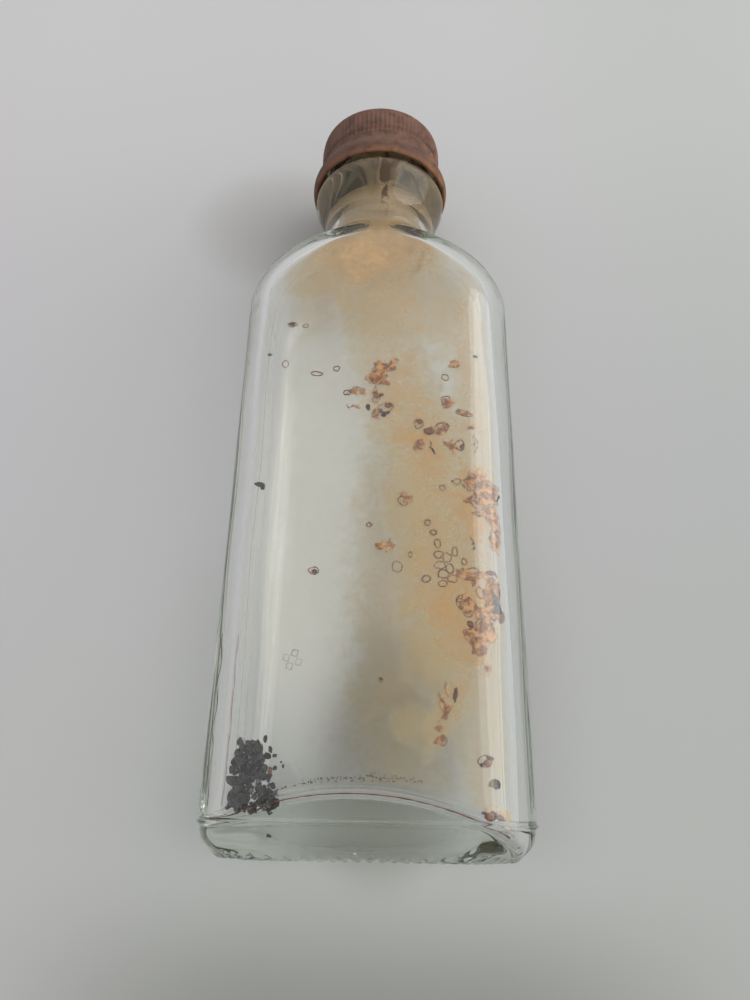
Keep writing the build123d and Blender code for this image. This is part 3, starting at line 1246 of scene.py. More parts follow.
    def waves(self, height: float) -> np.ndarray:
        """Work out the slight unevenness of the inner wall.

        Args:
            height: the height from the base.

        Returns:
            How far the wall stands out along each spoke.
        """
        above = min(1.0, max(0.0, (height - self.wall_foot) / 8.0))
        fade = above * min(1.0, max(0.0, (98.0 - height) / 6.0))
        turn = np.arctan2(self.spokes.up, self.spokes.across)
        broad = np.sin(2 * turn + height * 0.11) * math.sin(height * 0.085 + 1.1)
        return fade * self.wave * (broad + 0.5 * np.sin(3 * turn - height * 0.17))

    def inner_place(self, x: float, height: float, face: Face, lift: float) -> Vector:
        """Return the point that lies just inside one of the broad inner faces.

        Args:
            x: the place across.
            height: the height from the base.
            face: the face.
            lift: how far it stands clear of the glass.

        Returns:
            The point, in millimetres in the frame.
        """
        wide = float(self.inner_side.at(np.array(height)))
        deep = float(self.inner_panel.at(np.array(height)))
        corner = min(self.corner - 2.4, deep - 0.01)
        beyond = max(0.0, abs(x) - (wide - corner))
        if beyond >= corner - 0.05:
            beyond, x = corner - 0.05, math.copysign(wide - 0.05, x)
        z = deep - corner + math.sqrt(corner**2 - beyond**2) - lift
        return Vector((x, height - OVERALL_HEIGHT / 2, AXIS_HEIGHT + face.value * z))


# --- The film and the crumbs ---------------------------------------------------------
class Crumbs:
    """Many small pieces on the inside of the glass, gathered into one mesh."""

    skin_corners: int = 36
    rim_corners: int = 26
    chip_corners: int = 9

    def __init__(self, glass: GlassBottle, seed: int) -> None:
        """Start with nothing, on that glass.

        Args:
            glass: the bottle that they lie in.
            seed: what the random draws start from.
        """
        self.glass = glass
        self.draw = random.Random(seed)
        self.points: list[Vector] = []
        self.faces: list[list[int]] = []

    def _add(self, points: Sequence[Vector], faces: Sequence[Sequence[int]]) -> None:
        """Add one closed piece, with its faces turned outwards.

        Args:
            points: its points.
            faces: its faces, all turned the same way.
        """
        volume = sum(
            points[face[0]].dot(points[face[k]].cross(points[face[k + 1]]))
            for face in faces for k in range(1, len(face) - 1))
        start = len(self.points)
        self.points += points
        self.faces += [
            [start + corner for corner in (reversed(face) if volume < 0 else face)]
            for face in faces]

    def outline(self, spot: "Spot", ragged: float, count: int) -> Line:
        """Return the corners of an irregular outline about its middle.

        Args:
            spot: its half sizes and its turn.
            ragged: how irregular it is.
            count: how many corners it has.

        Returns:
            The corners, in order.
        """
        waves = [
            (k, self.draw.uniform(-1, 1) * ragged / k**0.7, self.draw.uniform(0, 6.28))
            for k in (2, 3, 4, 5, 7, 9)]
        turn = math.radians(spot.turn)
        corners = []
        for index in range(count):
            way = 2 * math.pi * index / count
            size = max(0.25, 1 + sum(much * math.cos(k * way + start) for k, much, start in waves))
            x, y = spot.wide * size * math.cos(way), spot.tall * size * math.sin(way)
            corners.append((
                x * math.cos(turn) - y * math.sin(turn), x * math.sin(turn) + y * math.cos(turn)))
        return corners

    def skin(self, spot: "Spot", thick: float, ragged: float) -> None:
        """Add a thin patch of crust that lies on the glass.

        Args:
            spot: where it lies and how big it is.
            thick: its thickness in the middle.
            ragged: how irregular its outline is.
        """
        outline = self.outline(spot, ragged, self.skin_corners)
        points: list[Vector] = []
        for lift, parts in ((thick, (0.0, 0.4, 0.75, 0.92, 1.0)), (0.0, (0.92, 0.5, 0.0))):
            for part in parts:
                rise = 0.09 + lift * (1.0 if part < 0.9 else 0.75 if part < 0.95 else 0.25)
                ring = outline if part else outline[:1]
                points += [
                    self._at(spot, dx * part, dy * part, rise + self.draw.uniform(0, 0.02))
                    for dx, dy in ring]
        self._add(points, self._between([1, *[self.skin_corners] * 6, 1]))

    @staticmethod
    def _between(sizes: Sequence[int]) -> list[list[int]]:
        """Join rings that lie one after another.

        Args:
            sizes: how many points each ring has; the first and the last have one.

        Returns:
            The faces between them.
        """
        faces, start = [], 0
        for low, high in zip(sizes, sizes[1:]):
            next_start = start + low
            for i in range(max(low, high)):
                j = (i + 1) % max(low, high)
                if low == 1:
                    faces.append([start, next_start + i, next_start + j])
                elif high == 1:
                    faces.append([start + i, next_start, start + j])
                else:
                    faces.append([start + i, next_start + i, next_start + j, start + j])
            start = next_start
        return faces

    def _at(self, spot: "Spot", dx: float, dy: float, lift: float) -> Vector:
        """Return a point beside a spot, at a lift above the glass."""
        return self.glass.inner_place(spot.x + dx, spot.height + dy, spot.face, lift)

    def strand(self, line: Sequence[tuple[float, float]], thick: float, face: Face = Face.FRONT,
               closed: bool = False, lift: float = 0.12) -> None:
        """Add a thin raised line that lies on the glass.

        Args:
            line: its points, as x and height.
            thick: half its thickness.
            face: the inner face it lies on.
            closed: whether its end joins its start.
            lift: how far its middle stands from the glass.
        """
        path = [self.glass.inner_place(x, height, face, lift + thick * 0.6) for x, height in line]
        count, sides = len(path), 5
        points: list[Vector] = []
        for index, middle in enumerate(path):
            before = path[index - 1] if closed or index else middle
            after = path[(index + 1) % count] if closed or index < count - 1 else middle
            run = (after - before).normalized()
            out = Vector((0, 0, -face.value))
            side = run.cross(out).normalized()
            size = thick * self.draw.uniform(0.6, 1.3)
            for corner in range(sides):
                way = 2 * math.pi * corner / sides
                points.append(middle + (side * math.cos(way) + out * math.sin(way) * 0.8) * size)
        rows = count if closed else count - 1
        faces = [[row * sides + k, row * sides + (k + 1) % sides,
                  (row + 1) % count * sides + (k + 1) % sides, (row + 1) % count * sides + k]
                 for row in range(rows) for k in range(sides)]
        if not closed:
            faces += [list(range(sides))[::-1], [(count - 1) * sides + k for k in range(sides)]]
        self._add(points, faces)

    def rim(self, spot: "Spot", thick: float) -> None:
        """Add the raised rim that a drying drop or bubble leaves.

        Args:
            spot: where it lies and how big it is.
            thick: half its thickness.
        """
        outline = self.outline(spot, 0.18, self.rim_corners)
        line = [(spot.x + dx, spot.height + dy) for dx, dy in outline]
        self.strand(line, thick, spot.face, closed=True)

    def chip(self, spot: "Spot", thick: float = 0.2, lift: float = 0.1, tip: float = 0.3) -> None:
        """Add a flat broken flake.

        Args:
            spot: where it lies and how big it is.
            thick: its thickness.
            lift: how far its middle stands from the glass.
            tip: how far its edges may tilt, as a slope.
        """
        outline = self.outline(spot, 0.30, self.chip_corners)
        lean_x, lean_y = self.draw.uniform(-tip, tip), self.draw.uniform(-tip, tip)
        middle = self._at(spot, 0, 0, lift + thick)
        inward = -spot.face.value
        layers = []
        for rise, part in ((-0.5, 0.0), (-0.5, 0.9), (0.0, 1.0), (0.5, 0.85), (0.62, 0.0)):
            for dx, dy in outline if part else outline[:1]:
                slope = (dx * lean_x + dy * lean_y) * part
                up = slope + rise * thick + self.draw.uniform(-0.05, 0.05) * thick
                up = max(up, -lift - thick * 0.8)
                layers.append(middle + Vector((dx * part, dy * part, inward * up)))
        self._add(layers, self._between([1, *[self.chip_corners] * 3, 1]))

    def build(self, name: str, smooth: bool = True) -> bpy.types.Object:
        """Gather the pieces into one object.

        Args:
            name: the object's name.
            smooth: whether it is shaded smooth, or with flat facets.

        Returns:
            The object.
        """
        mesh = bpy.data.meshes.new(name)
        mesh.from_pydata([p * MILLIMETRE for p in self.points], [], self.faces)
        if smooth:
            mesh.shade_smooth()
        made = bpy.data.objects.new(name, mesh)
        bpy.context.scene.collection.objects.link(made)
        return made


@dataclass(frozen=True)
class Spot:
    """A place on an inner face with half sizes, in millimetres, and a turn in degrees."""

    x: float
    height: float
    wide: float
    tall: float
    turn: float = 0.0
    face: Face = Face.FRONT


@dataclass
class Residue:
    """What dried inside the bottle: a film on the walls, crusts with rims, and loose flakes."""

    glass: GlassBottle
    film_gap: float = 0.34
    skin_gap: float = 0.07
    patches: tuple[Spot, ...] = (
        Spot(0.9, 74.7, 2.13, 1.8, 40), Spot(2.6, 76.5, 0.66, 0.98, -20),
        Spot(-3.3, 71.2, 1.31, 0.82, 10), Spot(-0.1, 70.4, 0.57, 1.15, -25),
        Spot(0.10, 66.8, 0.66, 0.74), Spot(-3.6, 68.3, 0.9, 0.33, -10),
        Spot(10.9, 64.7, 1.23, 0.82, 10), Spot(7.3, 61.8, 0.82, 0.98),
        Spot(13.2, 76.8, 0.82, 0.57, 15), Spot(11.9, 69.7, 0.98, 0.9, 30),
        Spot(14.6, 67.6, 1.07, 0.41, -15), Spot(15.6, 64.8, 0.41, 0.41),
        Spot(17.4, 53.2, 2.21, 2.13, 30), Spot(18.4, 49, 0.82, 2.13, 25),
        Spot(18.7, 45.5, 0.82, 1.31), Spot(15.1, 54.9, 0.82, 0.98), Spot(15.4, 51.8, 0.74, 0.49),
        Spot(5.1, 51.6, 0.74, 0.82), Spot(1.6, 43.9, 1.23, 0.57, 25),
        Spot(17.8, 37.4, 0.74, 2.38, 8), Spot(16, 30.7, 2.05, 1.72, 25),
        Spot(16.8, 33.8, 1.31, 1.48), Spot(14, 34.8, 1.39, 1.23), Spot(15, 39.2, 1.89, 0.82, 20),
        Spot(16.8, 25.7, 0.41, 0.41), Spot(13, 61.4, 1.07, 1.31), Spot(10.6, 20.7, 0.49, 1.97, -20),
        Spot(9.7, 16, 0.74, 0.9),
    )
    rims: tuple[Spot, ...] = (
        Spot(7.1, 65.4, 0.74, 0.82), Spot(11.1, 65, 0.9, 0.74), Spot(7.3, 61.6, 0.66, 0.74),
        Spot(13.8, 61.6, 0.74, 0.9), Spot(13.3, 76.9, 0.74, 0.49), Spot(11.6, 74.4, 0.57, 0.57),
        Spot(14.6, 67.5, 1.31, 0.41, -15), Spot(11.6, 70.1, 0.66, 0.66),
        Spot(13.2, 55.1, 0.57, 0.49), Spot(15.4, 55.1, 0.49, 0.66), Spot(15.1, 54, 0.41, 0.41),
        Spot(16.9, 53.1, 0.57, 0.49), Spot(17.6, 52.3, 0.66, 0.41, 30),
        Spot(17.8, 54.2, 0.9, 0.74, 20), Spot(17.9, 50, 0.49, 0.74), Spot(4.6, 51.6, 0.82, 0.74),
        Spot(3.7, 40.7, 0.74, 0.9), Spot(5.7, 42.7, 0.33, 0.41), Spot(8.1, 38.9, 0.66, 0.49),
        Spot(13.9, 41.7, 0.41, 0.49), Spot(10, 42.8, 0.66, 0.57), Spot(11.3, 42.3, 0.66, 0.74),
        Spot(10.2, 41.1, 0.74, 0.66), Spot(11.7, 40.6, 0.57, 0.74), Spot(10.7, 39.7, 0.82, 0.66),
        Spot(12.1, 39, 0.74, 0.57), Spot(9.9, 44.6, 0.49, 0.66), Spot(10.6, 38.2, 0.66, 0.49),
        Spot(12.5, 43.3, 0.41, 0.74), Spot(14.3, 33.8, 0.74, 0.66),
        Spot(13.3, 35.9, 0.74, 0.49, 10), Spot(15.1, 30.5, 1.23, 1.07, 20),
        Spot(17, 31, 0.74, 1.31, -20), Spot(17.4, 35.1, 0.57, 0.66), Spot(16.8, 33.1, 0.66, 0.9),
        Spot(16.1, 36.9, 0.49, 0.9, 15), Spot(17.9, 39.8, 0.74, 0.66),
        Spot(15.1, 39.8, 1.15, 0.98, 10), Spot(15.9, 13, 0.82, 0.82), Spot(-15.5, 76.4, 0.49, 0.66),
        Spot(-10.1, 74.6, 0.9, 0.41), Spot(-6.8, 75.7, 0.49, 0.49), Spot(-4.9, 71, 0.57, 0.41),
        Spot(-14.8, 84.5, 0.74, 0.49), Spot(-12.5, 84.3, 0.49, 0.33), Spot(-8.9, 39.8, 0.74, 0.57),
        Spot(1.5, 23.8, 0.29, 0.29), Spot(10.8, 54, 0.49, 0.41), Spot(0, 69.9, 0.57, 0.74, -30),
        Spot(1.6, 68.3, 1.31, 0.82, 15), Spot(10.2, 15.6, 0.57, 0.66), Spot(-0.7, 47.4, 0.41, 0.33),
        Spot(8.4, 48, 0.41, 0.49), Spot(9.3, 46.4, 0.49, 0.41),
    )
    embers: tuple[Spot, ...] = (
        Spot(8.8, 64.1, 0.82, 0.74, 30), Spot(7.3, 65.8, 0.57, 0.41), Spot(14.1, 61.3, 0.41, 0.41),
        Spot(18.4, 37.4, 0.57, 1.97, 8), Spot(17.7, 40.2, 0.66, 0.41),
        Spot(2.1, 68.8, 0.74, 0.41, 20), Spot(-14.9, 84.6, 0.66, 0.29),
        Spot(-8.8, 39.7, 0.49, 0.33), Spot(16.2, 12.7, 0.57, 0.41), Spot(19.1, 33.6, 0.74, 0.82),
        Spot(-20.9, 14.1, 0.5, 0.9, 0, Face.BACK), Spot(-16.3, 12.6, 0.4, 0.6, 0, Face.BACK),
        Spot(12.1, 21.9, 0.33, 0.98, -10), Spot(16.4, 6.0, 0.8, 0.6, 15),
        Spot(17.6, 5.8, 0.6, 0.4, -10), Spot(0.8, 70.7, 0.41, 0.33), Spot(18.1, 45.9, 0.41, 0.41),
        Spot(-0.1, 71.2, 0.41, 0.49), Spot(14.6, 32, 0.41, 0.74, 40),
    )
    blacks: tuple[Spot, ...] = (
        Spot(-1.3, 68.4, 0.49, 0.49), Spot(0.8, 67.8, 0.41, 0.41), Spot(1.8, 67.4, 0.74, 0.33, 20),
        Spot(1.3, 67, 0.41, 0.41), Spot(19, 53.2, 0.41, 0.98), Spot(16.4, 52.3, 0.29, 0.29),
        Spot(16.4, 49.4, 0.2, 0.2), Spot(12.4, 55.2, 0.2, 0.2), Spot(17.9, 35.4, 0.98, 1.8, 5),
        Spot(17.8, 36.4, 0.74, 0.74), Spot(17.1, 10.1, 0.66, 0.74), Spot(16.6, 13.4, 0.49, 0.33),
        Spot(15.5, 12.5, 0.33, 0.33), Spot(-18, 54.3, 0.66, 0.41), Spot(-17.5, 53.7, 0.33, 0.49),
        Spot(-18.2, 78.9, 0.33, 0.25), Spot(16.5, 6.0, 0.6, 0.6), Spot(15.6, 6.4, 0.4, 0.3),
        Spot(9.4, 60.6, 0.16, 0.57, 25), Spot(-18.0, 15.7, 0.35, 1.0, 0, Face.BACK),
        Spot(-16.9, 14.8, 0.7, 0.6, 0, Face.BACK), Spot(-15.8, 14.9, 0.3, 0.3, 0, Face.BACK),
        Spot(-14.2, 13.3, 0.2, 0.4, 0, Face.BACK), Spot(-12.8, 11.6, 0.35, 0.3),
        Spot(-13.6, 14.0, 0.3, 0.45, 20), Spot(-12.9, 13.2, 0.3, 0.25), Spot(-14.4, 15.4, 0.3, 0.6),
        Spot(-12.0, 12.4, 0.16, 0.16), Spot(16.8, 79, 0.41, 0.41), Spot(15.3, 44.7, 0.16, 0.25),
        Spot(15.5, 43.9, 0.25, 0.25), Spot(1.5, 23.9, 0.16, 0.16),
    )
    squiggles: tuple[tuple[float, float], ...] = (
        (15.8, 63.0), (16.1, 62.4), (15.9, 61.6), (16.3, 61.1), (16.0, 60.4), (16.4, 62.0))
    flake_prints: tuple[tuple[float, float], ...] = (
        (-12.2, 26.6), (-11.0, 27.3), (-10.4, 26.0), (-11.7, 25.4))

    def build_film(self) -> bpy.types.Object:
        """Return the film as one thin skin just inside the glass."""
        glass = self.glass
        coarse = GlassBottle(spoke_count=180, seam_spokes=())
        mesh = RingMesh(coarse.spokes)
        for height in (134.0, 128.0, 123.0):
            mesh.ring(height, glass.bore_radius - self.skin_gap)
        mesh.ring(118.0, glass.neck_bore - self.skin_gap)
        low = glass.wall_foot
        shoulder, walls = np.linspace(glass.inner_side.end, 90.0, 28), np.linspace(88.0, low, 29)
        for height in np.concatenate([shoulder, walls]):
            mesh.ring(height, coarse.inner(height) + coarse.waves(float(height)) - self.film_gap)
        wall = coarse.inner(low) - self.film_gap
        foot = glass.floor(coarse.spokes.across * wall) + glass.floor_fillet
        for part in (0.35, 0.7, 1.0):
            mesh.ring(low + (foot - low) * part, wall)
        return mesh.build("dried_film", closed=False)

    def build_neck_haze(self) -> bpy.types.Object:
        """Return the thin dull skin that has dried on the outside of the neck and bead."""
        turn = np.linspace(0, 2 * math.pi, 97)[:-1]
        mesh = RingMesh(Spokes(np.cos(turn), np.sin(turn)))
        start = self.glass.outer_side.end + 0.6
        line = smooth_corners([*self.glass.bead_line(start), (11.6, 124.85)])
        for radius, height in line:
            mesh.ring(height, radius + self.skin_gap)
        return mesh.build("neck_haze", closed=False)

    def build_crusts(self) -> bpy.types.Object:
        """Return the amber patches."""
        crumbs = Crumbs(self.glass, SEED)
        for spot in self.patches:
            for _ in range(5):
                aside = crumbs.draw.gauss(0, 0.5) * spot.wide
                along = crumbs.draw.gauss(0, 0.5) * spot.tall
                size = crumbs.draw.uniform(0.35, 0.75)
                part = replace(
                    spot, x=spot.x + aside, height=spot.height + along, wide=spot.wide * size,
                    tall=spot.tall * size, turn=spot.turn + crumbs.draw.uniform(-60, 60))
                crumbs.skin(part, 0.14, 0.6)
        return crumbs.build("amber_crusts")

    def build_rims(self) -> bpy.types.Object:
        """Return the brown rims of dried drops and bubbles, with a few fine squiggles."""
        crumbs = Crumbs(self.glass, SEED + 1)
        for spot in self.rims:
            crumbs.rim(spot, crumbs.draw.uniform(0.07, 0.12))
        for spot in self.patches[:24:2]:
            outline = crumbs.outline(spot, 0.4, 30)
            crumbs.strand([(spot.x + dx, spot.height + dy) for dx, dy in outline[:19]], 0.08)
        crumbs.strand([(8.9, 62.2), (9.2, 61.6), (8.9, 61.1), (9.5, 60.6), (9.7, 59.9)], 0.1)
        crumbs.strand([(15.0, 45.7), (15.4, 45.1), (15.6, 44.4), (15.3, 43.8)], 0.06)
        for x, height in self.squiggles:
            crumbs.strand([(x, height), (x + 0.25, height + 0.2), (x + 0.15, height + 0.5)], 0.08)
        for x, height in self.flake_prints:
            crumbs.strand([
                (x - 0.5, height - 0.3), (x + 0.3, height - 0.5),
                (x + 0.5, height + 0.4), (x - 0.3, height + 0.5)], 0.05, closed=True)
        return crumbs.build("dried_rims")

    def build_embers(self) -> bpy.types.Object:
        """Return the red-brown flecks."""
        crumbs = Crumbs(self.glass, SEED + 2)
        for spot in self.embers:
            crumbs.skin(spot, 0.3, 0.30)
        wall = [(-20.85 + 0.1 * math.sin(h), h) for h in np.linspace(31.0, 6.8, 28)]
        edge = [(x, float(self.glass.floor(x)) + 0.7) for x in np.linspace(-20.6, 18.6, 60)]
        crumbs.strand(wall, 0.11)
        crumbs.strand(edge, 0.09)
        return crumbs.build("red_brown_flecks")

    def build_blacks(self) -> bpy.types.Object:
        """Return the black flakes: those on the walls, the heap and the specks on the floor."""
        crumbs = Crumbs(self.glass, SEED + 3)
        for spot in self.blacks:
            crumbs.chip(spot, 0.28)
        for _ in range(300):
            place = crumbs.draw.random() ** 1.3
            face = crumbs.draw.choice((Face.FRONT, Face.FRONT, Face.BACK))
            middle, reach = (-15.5, 8.6) if face is Face.FRONT else (-17.5, 10.0)
            x = middle - 1.2 * place + crumbs.draw.uniform(-1, 1) * (3.3 - 2.1 * place)
            size = crumbs.draw.uniform(0.26, 0.52)
            height = 6.4 + reach * place + crumbs.draw.uniform(-0.4, 0.4)
            height = max(height, float(self.glass.floor(x)) + 0.8 * size)
            tall, turn = size * crumbs.draw.uniform(1.0, 1.7), crumbs.draw.uniform(-30, 30)
            spot = Spot(max(x, -20.4), height, size, tall, turn, face)
            crumbs.chip(spot, crumbs.draw.uniform(0.12, 0.3), crumbs.draw.uniform(0.05, 0.9), 0.7)
        for _ in range(150):
            x = crumbs.draw.uniform(-14.5, 9.0)
            height = 11.4 - 0.0085 * (x - 2.0) ** 2 + crumbs.draw.gauss(0, 0.45)
            size = crumbs.draw.uniform(0.06, 0.19)
            tall = size * crumbs.draw.uniform(0.8, 1.6)
            crumbs.chip(Spot(x, height, size, tall, crumbs.draw.uniform(0, 180), Face.BACK), 0.12)
        return crumbs.build("black_flakes", smooth=False)


# --- The cap -------------------------------------------------------------------------
@dataclass
class ScrewCap:
    """The rolled steel cap: ribbed grip, thread groove, flare and curled lip."""

    top: float = 139.4
    wall_radius: float = 12.35
    sheet: float = 0.3
    crown_round: float = 1.3
    rib_count: int = 84
    rib_height: float = 0.14
    rib_foot: float = 131.9
    rib_head: float = 137.9
    flare_head: float = 132.0
    lip_height: float = 127.2
    lip_radius: float = 14.0
    edge_height: float = 125.5
    edge_radius: float = 13.55
    curl_radius: float = 0.55
    groove_depth: float = 0.32
    groove_half: float = 0.85
    groove_foot: float = 130.2
    thread_pitch: float = 3.175
    groove_turns: float = 1.3
    steps_to_rib: int = 8

    def build(self) -> bpy.types.Object:
        """Return the cap's sheet as one closed mesh."""
        count = self.rib_count * self.steps_to_rib
        turn = np.arange(count) / count * 2 * math.pi
        mesh = RingMesh(Spokes(np.cos(turn), np.sin(turn)))
        for radius, height in self._line(0.0):
            mesh.ring(height, self._dressed(turn, radius, height, 1.0))
        for radius, height in reversed(self._line(self.sheet)):
            mesh.ring(height, self._dressed(turn, radius, height, 0.55))
        return mesh.build("cap_rolled_shell")

    def _line(self, depth: float) -> Line:
        """Set out the section of the sheet, from the crown's middle to the lip's edge.

        Args:
            depth: how far inside the outer face it runs.

        Returns:
            The line, as radius and height.
        """
        wall, top = self.wall_radius - depth, self.top - depth
        line = [(wall * part, top) for part in (0.02, 0.3, 0.6, 0.8)]
        round_radius = max(self.crown_round - depth, 0.5)
        for bend in np.linspace(0, math.pi / 2, 9):
            inset, fall = round_radius * (1 - math.sin(bend)), round_radius * (1 - math.cos(bend))
            line.append((wall - inset, top - fall))
        low = top - round_radius
        line += [(wall, height) for height in np.linspace(low, self.flare_head, 36)[1:]]
        for part in np.linspace(0, 1, 16)[1:]:
            out = (self.lip_radius - self.wall_radius) * (1 - math.cos(math.pi * part)) / 2
            line.append((wall + out, self.flare_head + (self.lip_height - self.flare_head) * part))
        for bend in np.linspace(0, math.pi / 2, 9)[1:]:
            fall = (self.lip_height - self.edge_height) * math.sin(bend)
            inset = (self.lip_radius - self.edge_radius) * (1 - math.cos(bend))
            line.append((
                self.lip_radius - depth - inset, self.lip_height - fall + depth * math.sin(bend)))
        for bend in np.linspace(0, math.pi * 0.75, 8)[1:]:
            size = self.curl_radius - depth
            line.append((
                self.edge_radius - depth - size * math.sin(bend),
                self.edge_height + depth + size * (1 - math.cos(bend))))
        return line

    def _dressed(self, turn: np.ndarray, radius: float, height: float, share: float) -> np.ndarray:
        """Return a ring's radius with the ribs and the thread groove rolled into it.

        Args:
            turn: the turn of each spoke.
            radius: the plain radius.
            height: the ring's height.
            share: how much of the ribs shows on this face of the sheet.

        Returns:
            The radius along each spoke.
        """
        above = np.clip((height - self.rib_foot) / 0.7, 0, 1)
        window = above * np.clip((self.rib_head - height) / 0.5, 0, 1)
        ribs = self.rib_height * window * share * (0.5 + 0.5 * np.cos(turn * self.rib_count)) ** 1.3
        wound = np.mod(math.pi / 2 - turn, 2 * math.pi)
        groove = np.zeros_like(turn)
        for extra in range(3):
            whole = wound + 2 * math.pi * extra
            middle = self.groove_foot + self.thread_pitch * whole / (2 * math.pi)
            ends = np.clip(np.minimum(whole, self.groove_turns * 2 * math.pi - whole) / 0.5, 0, 1)
            near = np.clip(1 - np.abs(height - middle) / self.groove_half, 0, 1)
            groove = np.maximum(groove, eased(near) * ends)
        return np.maximum(radius + ribs - self.groove_depth * groove * (radius > 11), 0.0)


# --- The stage -----------------------------------------------------------------------
@dataclass
class Studio:
    """The card that the bottle lies on, the soft light and the camera."""

    camera_x: float = -0.31
    camera_height: float = 5.12
    camera_rise: float = 136.0
    tilt: float = 23.18
    swing: float = -0.56
    roll: float = 1.72
    lens: float = 27.04
    sensor: float = 36.0
    card_size: float = 6000.0
    card_gap: float = 0.14
    horizon: float = 0.60
    zenith: float = 0.58
    lamp: float = 0.46
    strip: float = 1.1
    key_power: float = 5.0
    key_size: float = 1.10
    key_place: tuple[float, float, float] = (0.72, 0.20, 0.56)

    def build(self) -> None:
        """Lay the card, and set the lights and the camera."""
        self._card()
        self._lights()
        self._sky()
        self._camera()

    def _card(self) -> None:
        """Lay the card just under the bottle."""
        half, low = self.card_size / 2, -self.card_gap
        corners = ((-half, -half), (half, -half), (half, half), (-half, half))
        card = solid_from("card_floor", np.array([(x, y, low) for x, y in corners]), [[0, 1, 2, 3]])
        card.data.materials.append(FloorFinish().make())
        if card.data.polygons[0].normal.z < 0:
            card.data.flip_normals()

    def _lights(self) -> None:
        """Set one broad soft light up to the right."""
        data = bpy.data.lights.new("key_light", "AREA")
        data.shape, data.size = "DISK", self.key_size
        data.energy = self.key_power
        data.color = (1.0, 0.99, 0.97)
        light = bpy.data.objects.new("key_light", data)
        light.location = self.key_place
        light.rotation_euler = Vector(self.key_place).to_track_quat("Z", "Y").to_euler()
        bpy.context.scene.collection.objects.link(light)

    def _sky(self) -> None:
        """Make the plain pale surroundings, with a soft dark patch overhead."""
        world = bpy.data.worlds.new("studio")
        bpy.context.scene.world = world
        world.use_nodes = True
        bench = Bench(world.node_tree)
        way = bench.node("ShaderNodeTexCoord").outputs["Generated"]
        parts = bench.node("ShaderNodeSeparateXYZ", {}, {0: way}).outputs
        x, y, z = (Value(bench, part) for part in parts)
        patch = bench.oval(x, y, (0.0, 0.145), (0.0052, 0.0075)).rise(1.5, 0.2) * (z > 0.0)
        strip = (abs(x + 0.125) / 0.030).rise(1.0, 0.2) * (abs(y - 0.42) / 0.16).rise(1.0, 0.5)
        strip = strip * (z > 0.0)
        lamp = y.rise(0.15, 0.7) * z.rise(0.2, 0.6) * self.lamp
        level = self.horizon + (self.zenith - self.horizon) * z.most(0.0) + lamp
        level = level * (1 - patch * 0.8) + strip * self.strip
        rays = bench.node("ShaderNodeLightPath").outputs
        seen = Value(bench, rays["Is Camera Ray"]).most(Value(bench, rays["Is Transmission Ray"]))
        cool = bench.mix(1.0, (0.985, 1.0, 1.0), self._grey(bench, level), "MULTIPLY")
        plain, pale = (
            bench.node("ShaderNodeBackground", {}, {"Color": colour, "Strength": 1.0}).outputs[0]
            for colour in (cool, (0.60, 0.605, 0.60, 1.0)))
        both = bench.node("ShaderNodeMixShader", {}, {0: seen, 1: plain, 2: pale}).outputs[0]
        bench.node("ShaderNodeOutputWorld", {}, {"Surface": both})

    @staticmethod
    def _grey(bench: Bench, level: Value) -> bpy.types.NodeSocket:
        """Return a level as a grey colour."""
        return bench.node("ShaderNodeCombineColor", {}, {0: level, 1: level, 2: level}).outputs[0]

    def _camera(self) -> None:
        """Set the camera above the bottle's foot, looking down towards the cap."""
        tilt, swing, roll = (math.radians(v) for v in (self.tilt, self.swing, self.roll))
        swung = Matrix.Rotation(swing, 3, "Z")
        forward = swung @ Vector((0, math.sin(tilt), -math.cos(tilt)))
        up = swung @ Vector((0, math.cos(tilt), math.sin(tilt)))
        right = swung @ Vector((1, 0, 0))
        rolled_right = math.cos(roll) * right + math.sin(roll) * up
        rolled_up = -math.sin(roll) * right + math.cos(roll) * up
        data = bpy.data.cameras.new("camera")
        data.lens = self.lens
        data.sensor_width = self.sensor
        data.clip_start = 0.002
        camera = bpy.data.objects.new("camera", data)
        turned = Matrix((rolled_right, rolled_up, -forward)).transposed().to_4x4()
        along = self.camera_height - OVERALL_HEIGHT / 2
        spot = Vector((self.camera_x, along, self.camera_rise)) * MILLIMETRE
        camera.matrix_world = Matrix.Translation(spot) @ turned
        bpy.context.scene.collection.objects.link(camera)
        bpy.context.scene.camera = camera


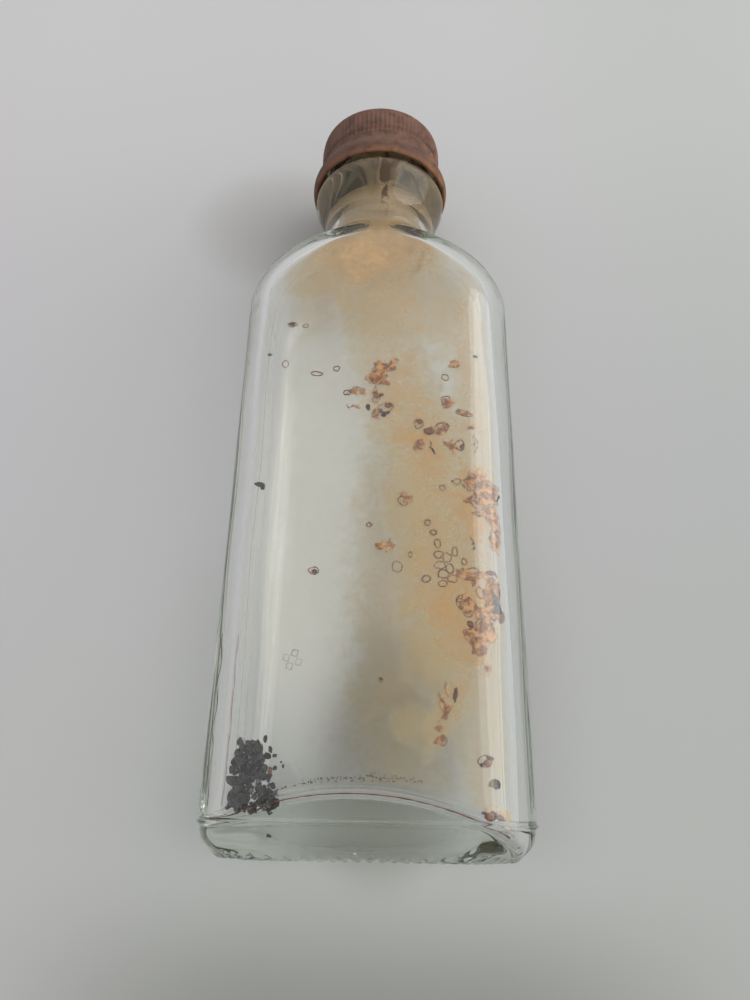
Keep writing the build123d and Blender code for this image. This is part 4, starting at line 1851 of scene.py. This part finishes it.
def dress_liners() -> None:
    """Give the two discs in the cap their paper and board."""
    board = PaperFinish("grey_pulpboard", (0.42, 0.34, 0.24), (0.24, 0.15, 0.09), 0.9, 2400.0)
    paper = PaperFinish("waxed_paper", (0.62, 0.55, 0.42), (0.33, 0.20, 0.10), 0.5, 1800.0)
    for name, finish in (("liner_board", board), ("liner_facing", paper)):
        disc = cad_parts[name]
        disc.data.materials.clear()
        disc.data.materials.append(finish.make())
        log.info("%s: carried over with %s", name, finish.name)


def set_light_paths() -> None:
    """Let light run far enough through the thick glass, and keep the view transform plain."""
    scene = bpy.context.scene
    scene.view_settings.view_transform = "Standard"
    scene.cycles.caustics_refractive = False
    scene.cycles.max_bounces = 28
    scene.cycles.transmission_bounces = 20
    scene.cycles.glossy_bounces = 24
    scene.cycles.transparent_max_bounces = 24


def main() -> None:
    """Build the bottle, what is in it, its cap and the stage."""
    logging.basicConfig(level=logging.INFO, format="%(message)s")
    set_light_paths()
    Studio().build()
    glass = GlassBottle()
    body = dress(glass.build(), Body.BOTTLE, GlassFinish().make())
    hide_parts("glass_bottle")
    residue = Residue(glass)
    film = dress(residue.build_film(), Body.BOTTLE, FilmFinish().make())
    haze = dress(residue.build_neck_haze(), Body.BOTTLE, HazeFinish().make())
    for build, finish in (
        (residue.build_crusts,
         CrustFinish("amber_crust", (0.27, 0.10, 0.03), (0.56, 0.28, 0.11), rough=0.5, cover=0.80)),
        (residue.build_rims,
         CrustFinish("brown_rim", (0.13, 0.04, 0.015), (0.34, 0.14, 0.05), rough=0.4, cover=0.86)),
        (residue.build_embers,
         CrustFinish("red_brown_crust", (0.07, 0.018, 0.010), (0.22, 0.07, 0.03))),
        (residue.build_blacks,
         CrustFinish("black_flake", (0.006, 0.005, 0.006), (0.040, 0.034, 0.034), rough=0.26)),
    ):
        dress(build(), Body.BOTTLE, finish.make())
    cap = dress(ScrewCap().build(), Body.CAP, RustFinish().make())
    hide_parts("cap_shell")
    dress_liners()


if __name__ == "__main__":
    main()
